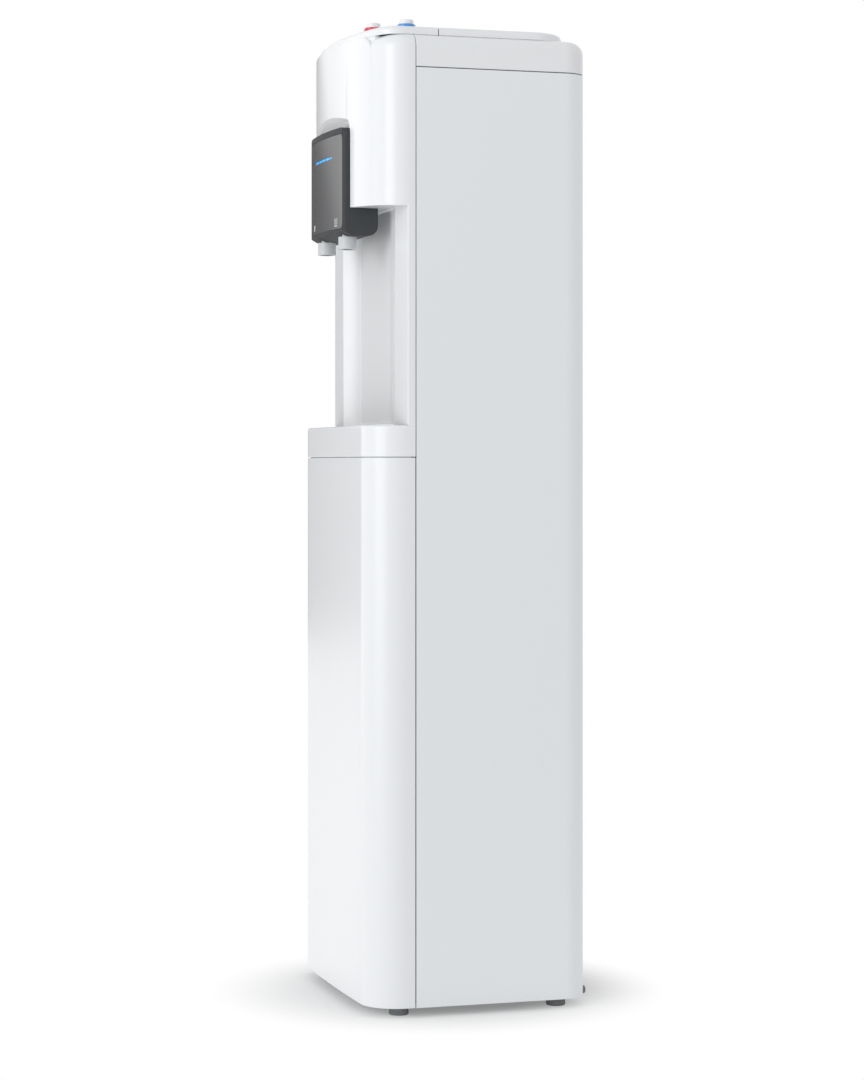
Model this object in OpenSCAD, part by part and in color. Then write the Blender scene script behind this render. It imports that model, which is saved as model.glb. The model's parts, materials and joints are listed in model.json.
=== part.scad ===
// Floor-standing top load water cooler. Millimetres, Z up.
// X = 0 is the middle, the front faces -Y, Z = 0 is the floor and
// Y = 0 is halfway between the front of the ledge and the rear bumpers.

/* [Cabinet] */
// Width across the two side panels
cabinet_w = 294; // [284:1:310]
// Depth of the upper front, from the brow's foremost point to the side seam
front_d = 56.7; // [54:0.1:64]
// Depth of the side panels, from the seam to the rear corner
side_d = 193.4; // [188:0.1:230]
// Thickness of the painted steel sheet
sheet_t = 1; // [0.8:0.1:1.5]
// Wall of the plastic mouldings
shell_t = 3; // [2.5:0.1:3.5]
// Width of a visible joint line
seam_gap = 0.9; // [0.6:0.1:1.2]
// Clearance between pieces that sit in each other
fit_gap = 0.3; // [0.2:0.05:0.4]

/* [Heights] */
// Height of the feet
foot_h = 10; // [8:0.5:16]
// Height of the lower front panel
panel_h = 576.7; // [540:0.1:640]
// Height of the ledge above the lower front panel
ledge_h = 33.3; // [32:0.1:40]
// Height of the cup space at its sides
alcove_h = 230; // [222:0.5:260]
// Height of the brow above the cup space
brow_h = 181; // [178:0.5:200]
// Height of the raised rim on top
rim_h = 9; // [8:0.5:12]
// Height of the top cap's straight and rounded side
cap_h = 35.3; // [32:0.1:40]

/* [Outline] */
// How far the brow bulges forward in the middle
brow_bow = 29; // [22:0.5:32]
// Radius of the brow's vertical corners
brow_corner_r = 32; // [26:1:34]
// How far the ledge stands behind the brow's foremost point
ledge_setback = 4.6; // [2:0.1:6]
// How far the ledge and the lower front bulge forward in the middle
ledge_bow = 3.4; // [2:0.1:6]
// Radius of the ledge's vertical corners
ledge_corner_r = 40; // [32:1:41]
// Radius of the rear vertical corners
rear_corner_r = 27; // [24:0.5:32]
// Radius where the sides turn over to the top
shoulder_r = 14; // [10:1:16]

/* [Cup space] */
// Distance of the back wall in front of the side seam
wall_before_seam = 2.6; // [2:0.1:4]
// Half width of the flat middle of the back wall
flat_half = 49; // [40:1:60]
// How far the back wall sweeps forward towards its sides
lip_d = 8.5; // [6:0.1:9]
// Width of the lip at each side of the back wall
lip_w = 42; // [34:1:50]
// Rise of the arched ceiling in the middle
arch_h = 4.5; // [3:0.5:6]
// Width of the drip tray
tray_w = 190; // [160:1:196]
// Depth of the drip tray from front to back
tray_d = 29.5; // [27:0.5:31]
// Height of the drip tray
tray_h = 24; // [18:0.5:26]

/* [Dispensing head] */
// Width of the head
head_w = 135; // [126:1:140]
// Height of the head from its underside to its top
head_h = 116; // [108:1:122]
// Height of the lower block, which holds the taps under the brow
chin_h = 26; // [24:0.5:28]
// Distance of the head's face in front of the brow
head_proud = 5.8; // [5:0.1:8]
// How far the head's face bulges forward in the middle
face_bow = 4.5; // [3:0.5:6]
// Distance of the lower block's rear in front of the side seam
chin_before_seam = 19; // [16:0.5:22]
// Radius of the face's corners
head_r = 9; // [6:0.5:12]
// Distance between the two nozzles
nozzle_pitch = 86.4; // [80:0.2:92]
// Outside diameter of a nozzle
nozzle_od = 19.8; // [18:0.2:21]
// Length of a nozzle below the head
nozzle_h = 13.5; // [10:0.5:20]
// Distance of the nozzles in front of the side seam
nozzle_before_seam = 46.3; // [44:0.1:47]

/* [Buttons] */
// Diameter of a button's cap
button_d = 15.4; // [14:0.2:16]
// Diameter of the coloured ring round a button
button_ring_d = 19.4; // [18.4:0.2:20]
// Height of a cap above the rim
button_proud = 8; // [7:0.1:10]
// Travel of a button
button_travel = 4; // [2:0.5:5]
// Sideways place of the hot button
hot_button_x = 87.4; // [84:0.2:92]
// Distance of the hot button in front of the side seam
hot_button_front = 30; // [27:0.5:31]
// Sideways place of the cold button
cold_button_x = 121.5; // [118:0.5:122]
// Distance of the cold button in front of the side seam
cold_button_front = 3.6; // [2:0.2:8]

/* [Bottle seat] */
// Radius of the round well
well_r = 92; // [84:1:94]
// Distance of the well's centre behind the side seam
well_behind_seam = 64; // [63:0.5:66]
// Depth of the seat's floor below the rim
seat_drop = 75; // [70:1:85]
// Diameter of the probe that opens the bottle's cap
probe_d = 22; // [18:0.5:26]
// Length of the probe above the seat's floor
probe_h = 55; // [45:1:60]

/* [Water tanks] */
// Radius of the cold tank
cold_tank_r = 48; // [40:1:49]
// Height of the cold tank
cold_tank_h = 138; // [110:1:145]
// Radius of the hot tank
hot_tank_r = 40; // [34:1:42]
// Height of the hot tank
hot_tank_h = 108; // [90:1:112]
// Thickness of the hot tank's jacket
jacket_t = 12; // [8:1:14]
// Turns of the evaporator round the cold tank
evaporator_turns = 8; // [4:1:9]

/* [Cooling unit] */
// Depth of the recess that holds the condenser
recess_d = 35; // [32:1:38]
// Height of the open compressor bay
bay_h = 240; // [225:1:260]
// Height of the recess above the bay
recess_h = 420; // [400:1:430]
// Radius of the compressor's shell
compressor_r = 66; // [58:1:70]
// Height of the compressor's shell
compressor_h = 150; // [130:1:165]
// Outside diameter of the condenser's tube
condenser_tube_d = 4.8; // [4:0.2:6]
// Distance between neighbouring runs of the condenser's tube
condenser_pitch = 26; // [22:1:26]
// Number of runs of the condenser's tube
condenser_runs = 13; // [9:2:13]
// Diameter of the condenser's wires
wire_d = 1.6; // [1.2:0.1:2]
// Number of wires on each face of the condenser
wire_count = 25; // [11:2:25]

/* [Hidden] */

$fn = 64;
eps = 0.01;
white = [0.90, 0.91, 0.93];
sheet_white = [0.87, 0.88, 0.90];
black = [0.09, 0.09, 0.10];
steel = [0.70, 0.71, 0.73];
copper = [0.72, 0.45, 0.30];
grey = [0.35, 0.36, 0.38];

// Levels
panel_seam_z = foot_h + panel_h;
ledge_z = panel_seam_z + ledge_h;
alcove_top_z = ledge_z + alcove_h;
shoulder_z = alcove_top_z + brow_h;
rim_z = shoulder_z + rim_h;
cap_seam_z = shoulder_z - cap_h;

// Plan
half_w = cabinet_w / 2;
bumper_h = 4.7;
depth = head_proud + front_d + side_d + bumper_h;
y_front = -depth / 2;
y_brow = y_front + head_proud;
y_ledge = y_brow + ledge_setback;
y_seam = y_brow + front_d;
y_rear = y_seam + side_d;

// A bowed outline is [half width, corner radius, foremost Y, bow radius, depth
// of the corners' centres]. That depth is picked in thousandths, so that the
// bow and the corners meet in even numbers.
function arc_radius(cx, r, d) = (cx * cx + d * d - r * r) / (2 * (d - r));
function off_even(v) = abs(v - round(v * 100) / 100);
function bowed_line(half, r, front, bow) = let (
    wide_r = (half * half + bow * bow) / (2 * bow),
    cx = half - r,
    wanted = wide_r - sqrt(pow(wide_r - r, 2) - cx * cx),
    depths = [for (i = [-150 : 150]) round(1000 * wanted + i) / 1000],
    misses = [for (d = depths) off_even(arc_radius(cx, r, d))],
    least = min(misses),
    d = [for (i = [0 : len(depths) - 1]) if (misses[i] == least) depths[i]][0]
) [half, r, round(100 * front) / 100, round(100 * arc_radius(cx, r, d)) / 100, d];
ledge_line = bowed_line(half_w, ledge_corner_r, y_ledge, ledge_bow);
brow_line = bowed_line(half_w, brow_corner_r, y_brow, brow_bow);

function bow_radius(p) = p[3];
function bow_y(p) = p[2] + p[3];
function corner_x(p) = p[0] - p[1];
function corner_y(p) = p[2] + p[4];

// Flat drawing of a bowed outline with round front corners and, where rear_r
// is over 0, round rear corners. inset moves every edge in, but a back with no
// radius is a cut and stays.
module bowed_plan(p, back, rear_r = 0, inset = 0) {
    half = p[0];
    cx = corner_x(p);
    cy = corner_y(p);
    by = bow_y(p);
    reach = 1.3;
    intersection() {
        translate([0, by]) circle(r = bow_radius(p) - inset, $fn = 720);
        polygon([[-cx, cy], [-cx * reach, by - (by - cy) * reach],
                 [cx * reach, by - (by - cy) * reach], [cx, cy]]);
    }
    intersection() {
        for (s = [-1, 1]) translate([s * cx, cy]) circle(r = p[1] - inset);
        translate([-half - 1, cy - p[1] - 1]) square([2 * half + 2, p[1] + 1]);
    }
    if (rear_r > 0) {
        rx = half - rear_r;
        translate([inset - half, cy]) square([2 * (half - inset), back - rear_r - cy]);
        translate([-rx, cy]) square([2 * rx, back - inset - cy]);
        for (s = [-1, 1]) translate([s * rx, back - rear_r]) circle(r = rear_r - inset);
    } else {
        translate([inset - half, cy]) square([2 * (half - inset), back - cy]);
    }
}

// Section of a wall r thick and h high whose outer top edge is rounded by e
module edge_section(r, e, h) {
    square([r, h - e]);
    square([r - e, h]);
    translate([r - e, h - e]) intersection() {
        circle(r = e);
        square(e);
    }
}

// Straight part of a block behind its front, with its top edge rounded by e
module block_behind(half, front, back, rear_r, z0, z1, e) {
    h = z1 - z0;
    along_y(front, back - rear_r) for (s = [0, 1]) mirror([s, 0]) translate([0, z0])
        edge_section(half, e, h);
    if (rear_r > 0) {
        rx = half - rear_r;
        ry = back - rear_r;
        along_x(-rx, rx) translate([ry, z0]) edge_section(rear_r, e, h);
        for (s = [0, 1]) mirror([s, 0, 0]) translate([rx, ry, z0])
            rotate_extrude(angle = 90) edge_section(rear_r, e, h);
    }
}

// Block over the bowed outline with its top edge rounded by e
module bowed_block(p, back, rear_r, z0, z1, e) {
    cx = corner_x(p);
    cy = corner_y(p);
    by = bow_y(p);
    // Where the line through both centres of an arc pair leaves the block
    reach = 1 + 2 * p[1] / (by - cy);
    fx = cx * reach;
    fy = by - (by - cy) * reach;
    h = z1 - z0;
    intersection() {
        translate([0, by, z0]) rotate_extrude($fn = 720) edge_section(bow_radius(p), e, h);
        at_z(z0 - 1, z1 + 1) polygon([[-cx, cy], [-fx, fy], [fx, fy], [cx, cy]]);
    }
    for (s = [0, 1]) mirror([s, 0, 0]) intersection() {
        translate([cx, cy, z0]) rotate_extrude() edge_section(p[1], e, h);
        at_z(z0 - 1, z1 + 1) polygon([[cx, cy], [fx, fy], [p[0] + p[1], fy], [p[0] + p[1], cy]]);
    }
    block_behind(p[0], cy, back, rear_r, z0, z1, e);
}

module at_z(z0, z1) { translate([0, 0, z0]) linear_extrude(z1 - z0) children(); }

// Rectangle in plan with round corners, from its corner points
module round_rect(x0, y0, x1, y1, r) {
    if (x1 - x0 > 2 * r) translate([x0 + r, y0]) square([x1 - x0 - 2 * r, y1 - y0]);
    if (y1 - y0 > 2 * r) translate([x0, y0 + r]) square([x1 - x0, y1 - y0 - 2 * r]);
    for (x = [x0 + r, x1 - r], y = [y0 + r, y1 - r]) translate([x, y]) circle(r = r);
}

// Stands an XZ drawing up, so that it runs from y0 to y1
module along_y(y0, y1) { translate([0, y1, 0]) rotate([90, 0, 0]) linear_extrude(y1 - y0) children(); }

// Turns a YZ drawing so that it runs from x0 to x1
module along_x(x0, x1) {
    translate([x0, 0, 0]) rotate([90, 0, 90]) linear_extrude(x1 - x0) children();
}

// Round bar between two points
module bar(p, q, r) {
    d = q - p;
    len = norm(d);
    translate(p) rotate([0, acos(d[2] / len), atan2(d[1], d[0])]) cylinder(h = len, r = r);
}

// Pipe of 8 sides through a list of points, curved at its bends
function unit(v) = v / norm(v);
function bend(a, b, c, r) = let (p = b - r * unit(b - a), q = b + r * unit(c - b)) [
    for (i = [0 : 4]) let (t = i / 4) (1 - t) * (1 - t) * p + 2 * t * (1 - t) * b + t * t * q
];
function route(pts, r) = concat(
    [pts[0]], [for (i = [1 : len(pts) - 2]) each bend(pts[i - 1], pts[i], pts[i + 1], r)],
    [pts[len(pts) - 1]]
);
function heading(w, i) = unit(w[min(i + 1, len(w) - 1)] - w[max(i - 1, 0)]);
function square_to(u, t) = unit(u - (u * t) * t);
function carry(w, i, u) = i >= len(w) ? [] : let (v = square_to(u, heading(w, i)))
    concat([v], carry(w, i + 1, v));
module pipe(pts, r, bend_r) {
    w = route(pts, bend_r);
    t0 = heading(w, 0);
    side = carry(w, 0, abs(t0[0]) < 0.8 ? [1, 0, 0] : [0, 1, 0]);
    n = len(w) - 1;
    points = [
        for (i = [0 : n]) let (u = side[i], v = cross(heading(w, i), u))
            for (k = [0 : 7]) w[i] + r * (cos(45 * k) * u + sin(45 * k) * v)
    ];
    walls = [
        for (i = [0 : n - 1]) for (k = [0 : 7]) let (a = i * 8 + k, b = i * 8 + (k + 1) % 8)
            each [[a, b + 8, b], [a, a + 8, b + 8]]
    ];
    low = [for (k = [1 : 6]) [0, k, k + 1]];
    high = [for (k = [1 : 6]) [n * 8, n * 8 + k + 1, n * 8 + k]];
    polyhedron(points, concat(walls, low, high));
}

// One unbroken helix of round tube about Z, with flat ends
function helix_ring(big_r, r, z, a, sides) = [
    for (k = [0 : sides - 1])
        let (b = 360 * k / sides, c = big_r + r * cos(b))
        [c * cos(a), c * sin(a), z + r * sin(b)]
];
module helix(big_r, r, pitch, turns, steps, sides) {
    n = round(turns * steps);
    points = [for (i = [0 : n]) each helix_ring(big_r, r, pitch * i / steps, 360 * i / steps, sides)];
    walls = [
        for (i = [0 : n - 1], k = [0 : sides - 1])
            let (a = i * sides + k, b = i * sides + (k + 1) % sides)
            each [[a, a + sides, b], [b, a + sides, b + sides]]
    ];
    start = [for (k = [1 : sides - 2]) [0, k, k + 1]];
    stop = [for (k = [1 : sides - 2]) [n * sides, n * sides + k + 1, n * sides + k]];
    polyhedron(points, concat(walls, start, stop));
}

// Least gap between the turns of a helix, measured on points of its centre line
function helix_at(big_r, pitch, a) = [big_r * cos(a), big_r * sin(a), pitch * a / 360];
function turn_gap(big_r, r, pitch) =
    min([for (a = [200 : 5 : 520]) norm(helix_at(big_r, pitch, a) - helix_at(big_r, pitch, 0))]) - 2 * r;

// BASE AND SHEET METAL
base_floor_t = 2;
base_rim_h = 18;
base_z = foot_h;
base_top = base_z + base_floor_t;

// Plan of the space inside the panels and their flanges, less a clearance
module inner_plan(clear) {
    behind = y_seam + flange_lip + clear;
    narrow = half_w - flange_w - clear;
    intersection() {
        bowed_plan(ledge_line, y_rear, rear_corner_r, sheet_t + clear);
        translate([-half_w, behind]) square([cabinet_w, side_d]);
    }
    translate([-narrow, fascia_back - 3]) square([2 * narrow, behind - fascia_back + 4]);
    bowed_plan(ledge_line, fascia_back - clear, 0, shell_t + clear);
}

foot_r = 10.5;
foot_x = half_w - 25.2;
foot_front_y = y_seam - 12;
foot_rear_y = y_rear - 30;
foot_places = [for (x = [-foot_x, foot_x], y = [foot_front_y, foot_rear_y]) [x, y]];
foot_screw_r = 2;

compressor_y = y_rear - 92;
grommet_x = 74;
grommet_dy = 50;
grommet_places = [
    for (x = [-grommet_x, grommet_x], y = [-grommet_dy, grommet_dy]) [x, compressor_y + y]
];
stud_r = 3;

module base_plate() color(steel) {
    difference() {
        at_z(base_z, base_z + base_rim_h) inner_plan(fit_gap);
        at_z(base_top, base_z + base_rim_h + 1) inner_plan(fit_gap + 1.5);
        for (p = foot_places) translate([p[0], p[1], base_z - 1]) cylinder(h = 4, r = foot_screw_r + 0.2);
        // Air slots under the compressor
        for (i = [-4 : 4]) at_z(base_z - 1, base_top + 1)
            round_rect(i * 13 - 3, compressor_y - 30, i * 13 + 3, compressor_y + 30, 2.9);
        // The rim is cut away behind the compressor bay
        translate([8 - screw_x, y_rear - 12, base_top]) cube([2 * (screw_x - 8), 20, base_rim_h]);
        for (s = [-1, 1]) translate([s * screw_x, y_rear + 1, screw_zs[0]]) rotate([90, 0, 0])
            cylinder(h = 8, r = screw_r + 0.2);
    }
    for (p = grommet_places) translate([p[0], p[1], base_top]) cylinder(h = 20, r = stud_r);
}

module feet() color(grey) for (p = foot_places) translate([p[0], p[1], 0]) {
    rotate_extrude() polygon([[0, 0], [foot_r - 1, 0], [foot_r, 1], [foot_r - 0.6, foot_h], [0, foot_h]]);
    cylinder(h = foot_h + base_floor_t + 3, r = foot_screw_r);
}

return_w = 23;
flange_w = 12;
flange_lip = 9;
side_z0 = foot_h;
side_z1 = cap_seam_z - seam_gap / 2;

// The right side panel: a front flange, the side, the rear corner and a return
module side_sheet() {
    difference() {
        intersection() {
            difference() {
                bowed_plan(ledge_line, y_rear, rear_corner_r);
                bowed_plan(ledge_line, y_rear, rear_corner_r, sheet_t);
            }
            translate([half_w - rear_corner_r - return_w, y_seam]) square([200, side_d + 1]);
        }
    }
    translate([half_w - flange_w, y_seam]) square([flange_w, sheet_t]);
    translate([half_w - flange_w, y_seam]) square([sheet_t, flange_lip]);
}

screw_r = 2;
screw_zs = [base_z + 9, bay_h - 20, side_z1 - 200, side_z1 - 20];
return_x = half_w - rear_corner_r - return_w;
screw_x = return_x + 9;
module right_side_panel() color(sheet_white) difference() {
    at_z(side_z0, side_z1) side_sheet();
    for (z = screw_zs) translate([screw_x, y_rear + 1, z]) rotate([90, 0, 0])
        cylinder(h = 4, r = screw_r + 0.2);
}
module left_side_panel() color(sheet_white) mirror([1, 0, 0]) right_side_panel();

// REAR PANEL with its condenser recess
recess_z0 = bay_h;
recess_z1 = bay_h + recess_h;
recess_half = return_x - 2;
rear_half = half_w - rear_corner_r - 2;
rear_outer = y_rear - sheet_t;
recess_y = rear_outer - recess_d;
switch_z = side_z1 - 75;
switch_x = 26;
switch_w = 14;
switch_h = 22;
vent_slot_h = 4;

module rear_panel() color(sheet_white) difference() {
    union() {
        difference() {
            translate([-rear_half, rear_outer - sheet_t, recess_z0])
                cube([2 * rear_half, sheet_t, side_z1 - recess_z0]);
            translate([-recess_half, rear_outer - 2, recess_z0 - 1])
                cube([2 * recess_half, 4, recess_h + 1]);
        }
        difference() {
            translate([-recess_half - sheet_t, recess_y - sheet_t, recess_z0])
                cube([2 * (recess_half + sheet_t), recess_d + sheet_t, recess_h + sheet_t]);
            translate([-recess_half, recess_y, recess_z0 - 1])
                cube([2 * recess_half, recess_d + 2, recess_h + 1]);
        }
    }
    // Vent slots above the recess
    for (i = [-5 : 5], j = [0, 1]) if (abs(i) > 2 || j == 0)
        along_y(rear_outer - 3, rear_outer + 1)
            round_rect(i * 17 - 6, recess_z1 + 22 + j * 12, i * 17 + 6,
                recess_z1 + 22 + j * 12 + vent_slot_h, 1.9);
    for (s = [-1, 1]) along_y(rear_outer - 3, rear_outer + 1)
        translate([s * switch_x - switch_w / 2, switch_z - switch_h / 2]) square([switch_w, switch_h]);
    for (s = [-1, 1], z = screw_zs) translate([s * screw_x, rear_outer + 1, z]) rotate([90, 0, 0])
        cylinder(h = 4, r = screw_r + 0.2);
    translate([drain_x, recess_y + 1, drain_z]) rotate([90, 0, 0]) cylinder(h = 4, r = drain_r + fit_gap);
}

// SHOULDER, RIM AND WELL
cap_z0 = cap_seam_z + seam_gap / 2;
rim_half = half_w - 11;
rim_corner = brow_corner_r - 5;
plate_t = 3;
rim_front = y_brow + plate_t + 0.7;
rim_line = bowed_line(rim_half, rim_corner, rim_front, brow_bow * 0.85);
rim_back = y_rear - 17;
rim_rear_r = 40;
rim_edge_r = 5;
rim_split_y = y_seam + 28;
rim_foot = 8;
well_y = y_seam + well_behind_seam;
well_wall = 2.6;
step_w = 6;
step_z = rim_z - 5;

module rim_plan(inset) { bowed_plan(rim_line, rim_back, rim_rear_r, inset); }

// Plan of the cabinet behind the seam, between two Y values
module cap_plan(inset, y0) {
    hw = half_w - inset;
    back = y_rear - inset;
    rc = rear_corner_r - inset;
    translate([-hw, y0]) square([2 * hw, back - rc - y0]);
    translate([-(hw - rc), y0]) square([2 * (hw - rc), back - y0]);
    for (s = [-1, 1]) translate([s * (hw - rc), back - rc]) circle(r = rc);
}

module top_cap() color(white) {
    difference() {
        block_behind(half_w, y_seam, y_rear, rear_corner_r, cap_z0, shoulder_z, shoulder_r);
        at_z(cap_z0 - 1, shoulder_z - 10) cap_plan(shell_t, y_seam - 1);
        at_z(shoulder_z - 11, shoulder_z - 4.5) cap_plan(shell_t + 5, y_seam - 1);
        at_z(shoulder_z - 5, shoulder_z + 1) rim_plan(rim_foot);
    }
    // Skirt that locates the cap inside the sheet metal
    difference() {
        at_z(cap_seam_z - 8, cap_z0 + 2) difference() {
            cap_plan(sheet_t + fit_gap, y_seam + 10);
            cap_plan(shell_t + 2, y_seam + 9);
        }
        translate([-half_w, y_rear - 12, cap_seam_z - 9]) cube([cabinet_w, 20, 9]);
    }
}

// The raised rim as one shell, which the deck and the collar share
module rim_shell() {
    difference() {
        bowed_block(rim_line, rim_back, rim_rear_r, shoulder_z, rim_z, rim_edge_r);
        at_z(shoulder_z - 1, rim_z - shell_t) rim_plan(shell_t);
        translate([0, well_y, shoulder_z - 1]) cylinder(h = rim_h + 2, r = well_r, $fn = 128);
    }
    translate([0, well_y, 0]) rotate_extrude($fn = 128) polygon([
        [well_r - step_w, step_z - 2], [well_r + well_wall, step_z - 2], [well_r + well_wall, rim_z - 1],
        [well_r, rim_z - 1], [well_r, step_z], [well_r - step_w, step_z]
    ]);
}

button_hole_r = button_ring_d / 2 - 0.6;
hot_xy = [hot_button_x, y_seam - hot_button_front];
cold_xy = [cold_button_x, y_seam - cold_button_front];

module button_deck() color(white) {
    difference() {
        intersection() {
            rim_shell();
            translate([-half_w, y_front, shoulder_z - 20])
                cube([cabinet_w, rim_split_y - seam_gap / 2 - y_front, 60]);
        }
        for (p = [hot_xy, cold_xy]) translate([p[0], p[1], rim_z - 10])
            cylinder(h = 20, r = button_hole_r + 0.1);
    }
    // Posts that carry the button board
    for (p = board_posts) translate([p[0], p[1], board_z + board_t])
        cylinder(h = rim_z - shell_t - board_z - board_t, r = 3);
}

module bottle_collar() color(white) intersection() {
    rim_shell();
    translate([-half_w, rim_split_y + seam_gap / 2, shoulder_z - 20]) cube([cabinet_w, side_d, 60]);
}

// BUTTONS
board_t = 1.6;
board_z = shoulder_z - 22;
board_mid = [(hot_xy[0] + cold_xy[0]) / 2, (hot_xy[1] + cold_xy[1]) / 2];
board_dir = [cold_xy[0] - hot_xy[0], cold_xy[1] - hot_xy[1]];
board_angle = atan2(board_dir[1], board_dir[0]);
board_len = norm(board_dir) + 14;
board_w = 13;
board_post_at = norm(board_dir) / 2;
board_posts = [
    for (s = [-0.35, 0.35]) [
        board_mid[0] + s * board_post_at * cos(board_angle),
        board_mid[1] + s * board_post_at * sin(board_angle)
    ]
];
key_h = 4;
key_z = board_z + board_t;
plunger_z = key_z + key_h + button_travel + 0.5;
cap_bottom_z = shoulder_z + button_travel + 0.5;
spring_big_r = 5.2;
spring_wire_r = 0.45;
spring_turns = 4;

module button_board() color([0.10, 0.35, 0.20]) {
    translate([board_mid[0], board_mid[1], board_z]) rotate([0, 0, board_angle])
        translate([-board_len / 2, -board_w / 2, 0]) cube([board_len, board_w, board_t]);
    for (p = [hot_xy, cold_xy]) {
        translate([p[0] - 3, p[1] - 3, key_z]) cube([6, 6, key_h - 1]);
        translate([p[0], p[1], key_z]) cylinder(h = key_h, r = 1.75);
    }
}

module button_cap(p) {
    r = button_d / 2;
    edge = 1.6;
    top = rim_z + button_proud;
    translate([p[0], p[1], 0]) rotate_extrude() {
        difference() {
            polygon([[0, cap_bottom_z], [r, cap_bottom_z], [r, top - edge], [r - edge, top], [0, top]]);
            polygon([[2.4, cap_bottom_z - 1], [r - 1.4, cap_bottom_z - 1], [r - 1.4, top - 3],
                [2.4, top - 3]]);
        }
        translate([r - edge, top - edge]) intersection() {
            circle(r = edge);
            square(edge);
        }
        translate([0, plunger_z]) square([2.4, top - 2 - plunger_z]);
    }
}

module button_ring(p) {
    r = button_ring_d / 2;
    inner = button_d / 2 + fit_gap;
    translate([p[0], p[1], 0]) rotate_extrude() {
        polygon([[inner, rim_z - 5], [button_hole_r, rim_z - 5], [button_hole_r, rim_z], [r, rim_z],
                 [r, rim_z + 2.2], [r - 0.8, rim_z + 3], [inner, rim_z + 3]]);
    }
}

spring_z0 = key_z + spring_wire_r + 0.05;
spring_z1 = rim_z + button_proud - 3 - spring_wire_r - 0.3;
spring_pitch = (spring_z1 - spring_z0) / spring_turns;
module button_spring(p) {
    translate([p[0], p[1], spring_z0])
        helix(spring_big_r, spring_wire_r, spring_pitch, spring_turns, 8, 6);
}

module hot_button() color(white) button_cap(hot_xy);
module cold_button() color(white) button_cap(cold_xy);
module hot_button_ring() color([0.80, 0.10, 0.14]) button_ring(hot_xy);
module cold_button_ring() color([0.12, 0.42, 0.82]) button_ring(cold_xy);
module hot_button_spring() color(steel) button_spring(hot_xy);
module cold_button_spring() color(steel) button_spring(cold_xy);

// FRONT MOULDINGS
wall_y = y_seam - wall_before_seam;
lip_x = half_w - lip_w;
scoop_w = lip_x - flat_half;
scoop_r = (scoop_w * scoop_w + lip_d * lip_d) / (2 * lip_d);
lip_rise = 1.9;
fillet_top = 7;
fillet_low = 6;
arch_r = (half_w * half_w + arch_h * arch_h) / (2 * arch_h);
arch_top = alcove_top_z + arch_h;
fascia_z0 = panel_seam_z + seam_gap / 2;
fascia_back = y_seam - seam_gap;

// A plan turned into air in front of the alcove's back wall, grown by wall
module air_under_arch() {
    far = y_front - 20;
    intersection() {
        at_z(ledge_z, arch_top) children();
        along_x(-half_w - 19, half_w + 19) {
            translate([far, ledge_z]) square([wall_y - fillet_top - far, arch_top - ledge_z]);
            translate([far, ledge_z + fillet_low])
                square([wall_y - far, arch_top - fillet_top - ledge_z - fillet_low]);
            translate([far, ledge_z]) square([wall_y - fillet_low - far, fillet_low + 1]);
            translate([wall_y - fillet_top, arch_top - fillet_top]) circle(r = fillet_top);
            translate([wall_y - fillet_low, ledge_z + fillet_low]) circle(r = fillet_low);
        }
        along_y(far + 1, wall_y + 1) polygon(concat(
            [[half_w + 18, ledge_z - 1], [-half_w - 18, ledge_z - 1]],
            [
                for (i = [-8 : 8]) let (x = i * (half_w + 18) / 8)
                    [x, arch_top - arch_r + sqrt(arch_r * arch_r - x * x)]
            ]
        ));
    }
}
module alcove_air() {
    far = y_front - 20;
    lip_y = wall_y - lip_d;
    lip_slope = lip_rise / lip_w;
    air_under_arch() translate([-flat_half - 10, far]) square([2 * flat_half + 20, wall_y - far]);
    for (s = [0, 1]) mirror([s, 0, 0]) {
        // The scoop runs a little past the lip's crest, and the lip crosses it
        air_under_arch() intersection() {
            translate([flat_half, wall_y - scoop_r]) circle(r = scoop_r, $fn = 720);
            translate([flat_half, far]) square([scoop_w + 1, wall_y + 1 - far]);
        }
        air_under_arch() polygon([
            [lip_x - 20, far], [half_w + 20, far], [half_w + 20, lip_y + lip_slope * (lip_w + 20)],
            [lip_x - 2, lip_y - lip_slope * 2], [lip_x - 20, lip_y - 4]
        ]);
    }
}

// Face plate of the brow and its place
plate_half = half_w - 33;
plate_corner = 22;
plate_top = shoulder_z + 1;
skin = plate_t + 0.1;

// Block under the brow's outline with its shoulder
module brow_block() {
    at_z(ledge_z - 1, alcove_top_z) intersection() {
        bowed_plan(brow_line, fascia_back);
        translate([-half_w, wall_y - 16]) square([cabinet_w, fascia_back - wall_y + 20]);
    }
    bowed_block(brow_line, fascia_back, 0, alcove_top_z - 2, shoulder_z, shoulder_r);
    // Fill behind the upper part of the face plate
    at_z(shoulder_z - shoulder_r - 2, shoulder_z) intersection() {
        bowed_plan(brow_line, fascia_back, 0, skin);
        translate([-plate_half, y_front]) square([2 * plate_half, head_proud + front_d - 20]);
    }
}
module ledge_block() { at_z(fascia_z0, ledge_z) bowed_plan(ledge_line, fascia_back); }

// Drip tray place in the ledge
tray_x = tray_w / 2;
tray_lip = 3;
tray_y1 = wall_y - fillet_low - tray_lip - 2 * fit_gap;
tray_y0 = tray_y1 - tray_d;
tray_r = 8;
tray_lip_t = 2;
tray_wall = 1.8;

head_x = head_w / 2;
chin_z = alcove_top_z - chin_h;
head_z1 = chin_z + head_h;
recess_side = 1;
recess_half_w = head_x + recess_side;
recess_top = head_z1 + 12;
recess_r = 24;
function brow_y(x) = bow_y(brow_line) - sqrt(pow(bow_radius(brow_line), 2) - x * x);
seat_y = brow_y(recess_half_w) + skin + 0.8;
recess_front = y_brow - 10;

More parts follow.
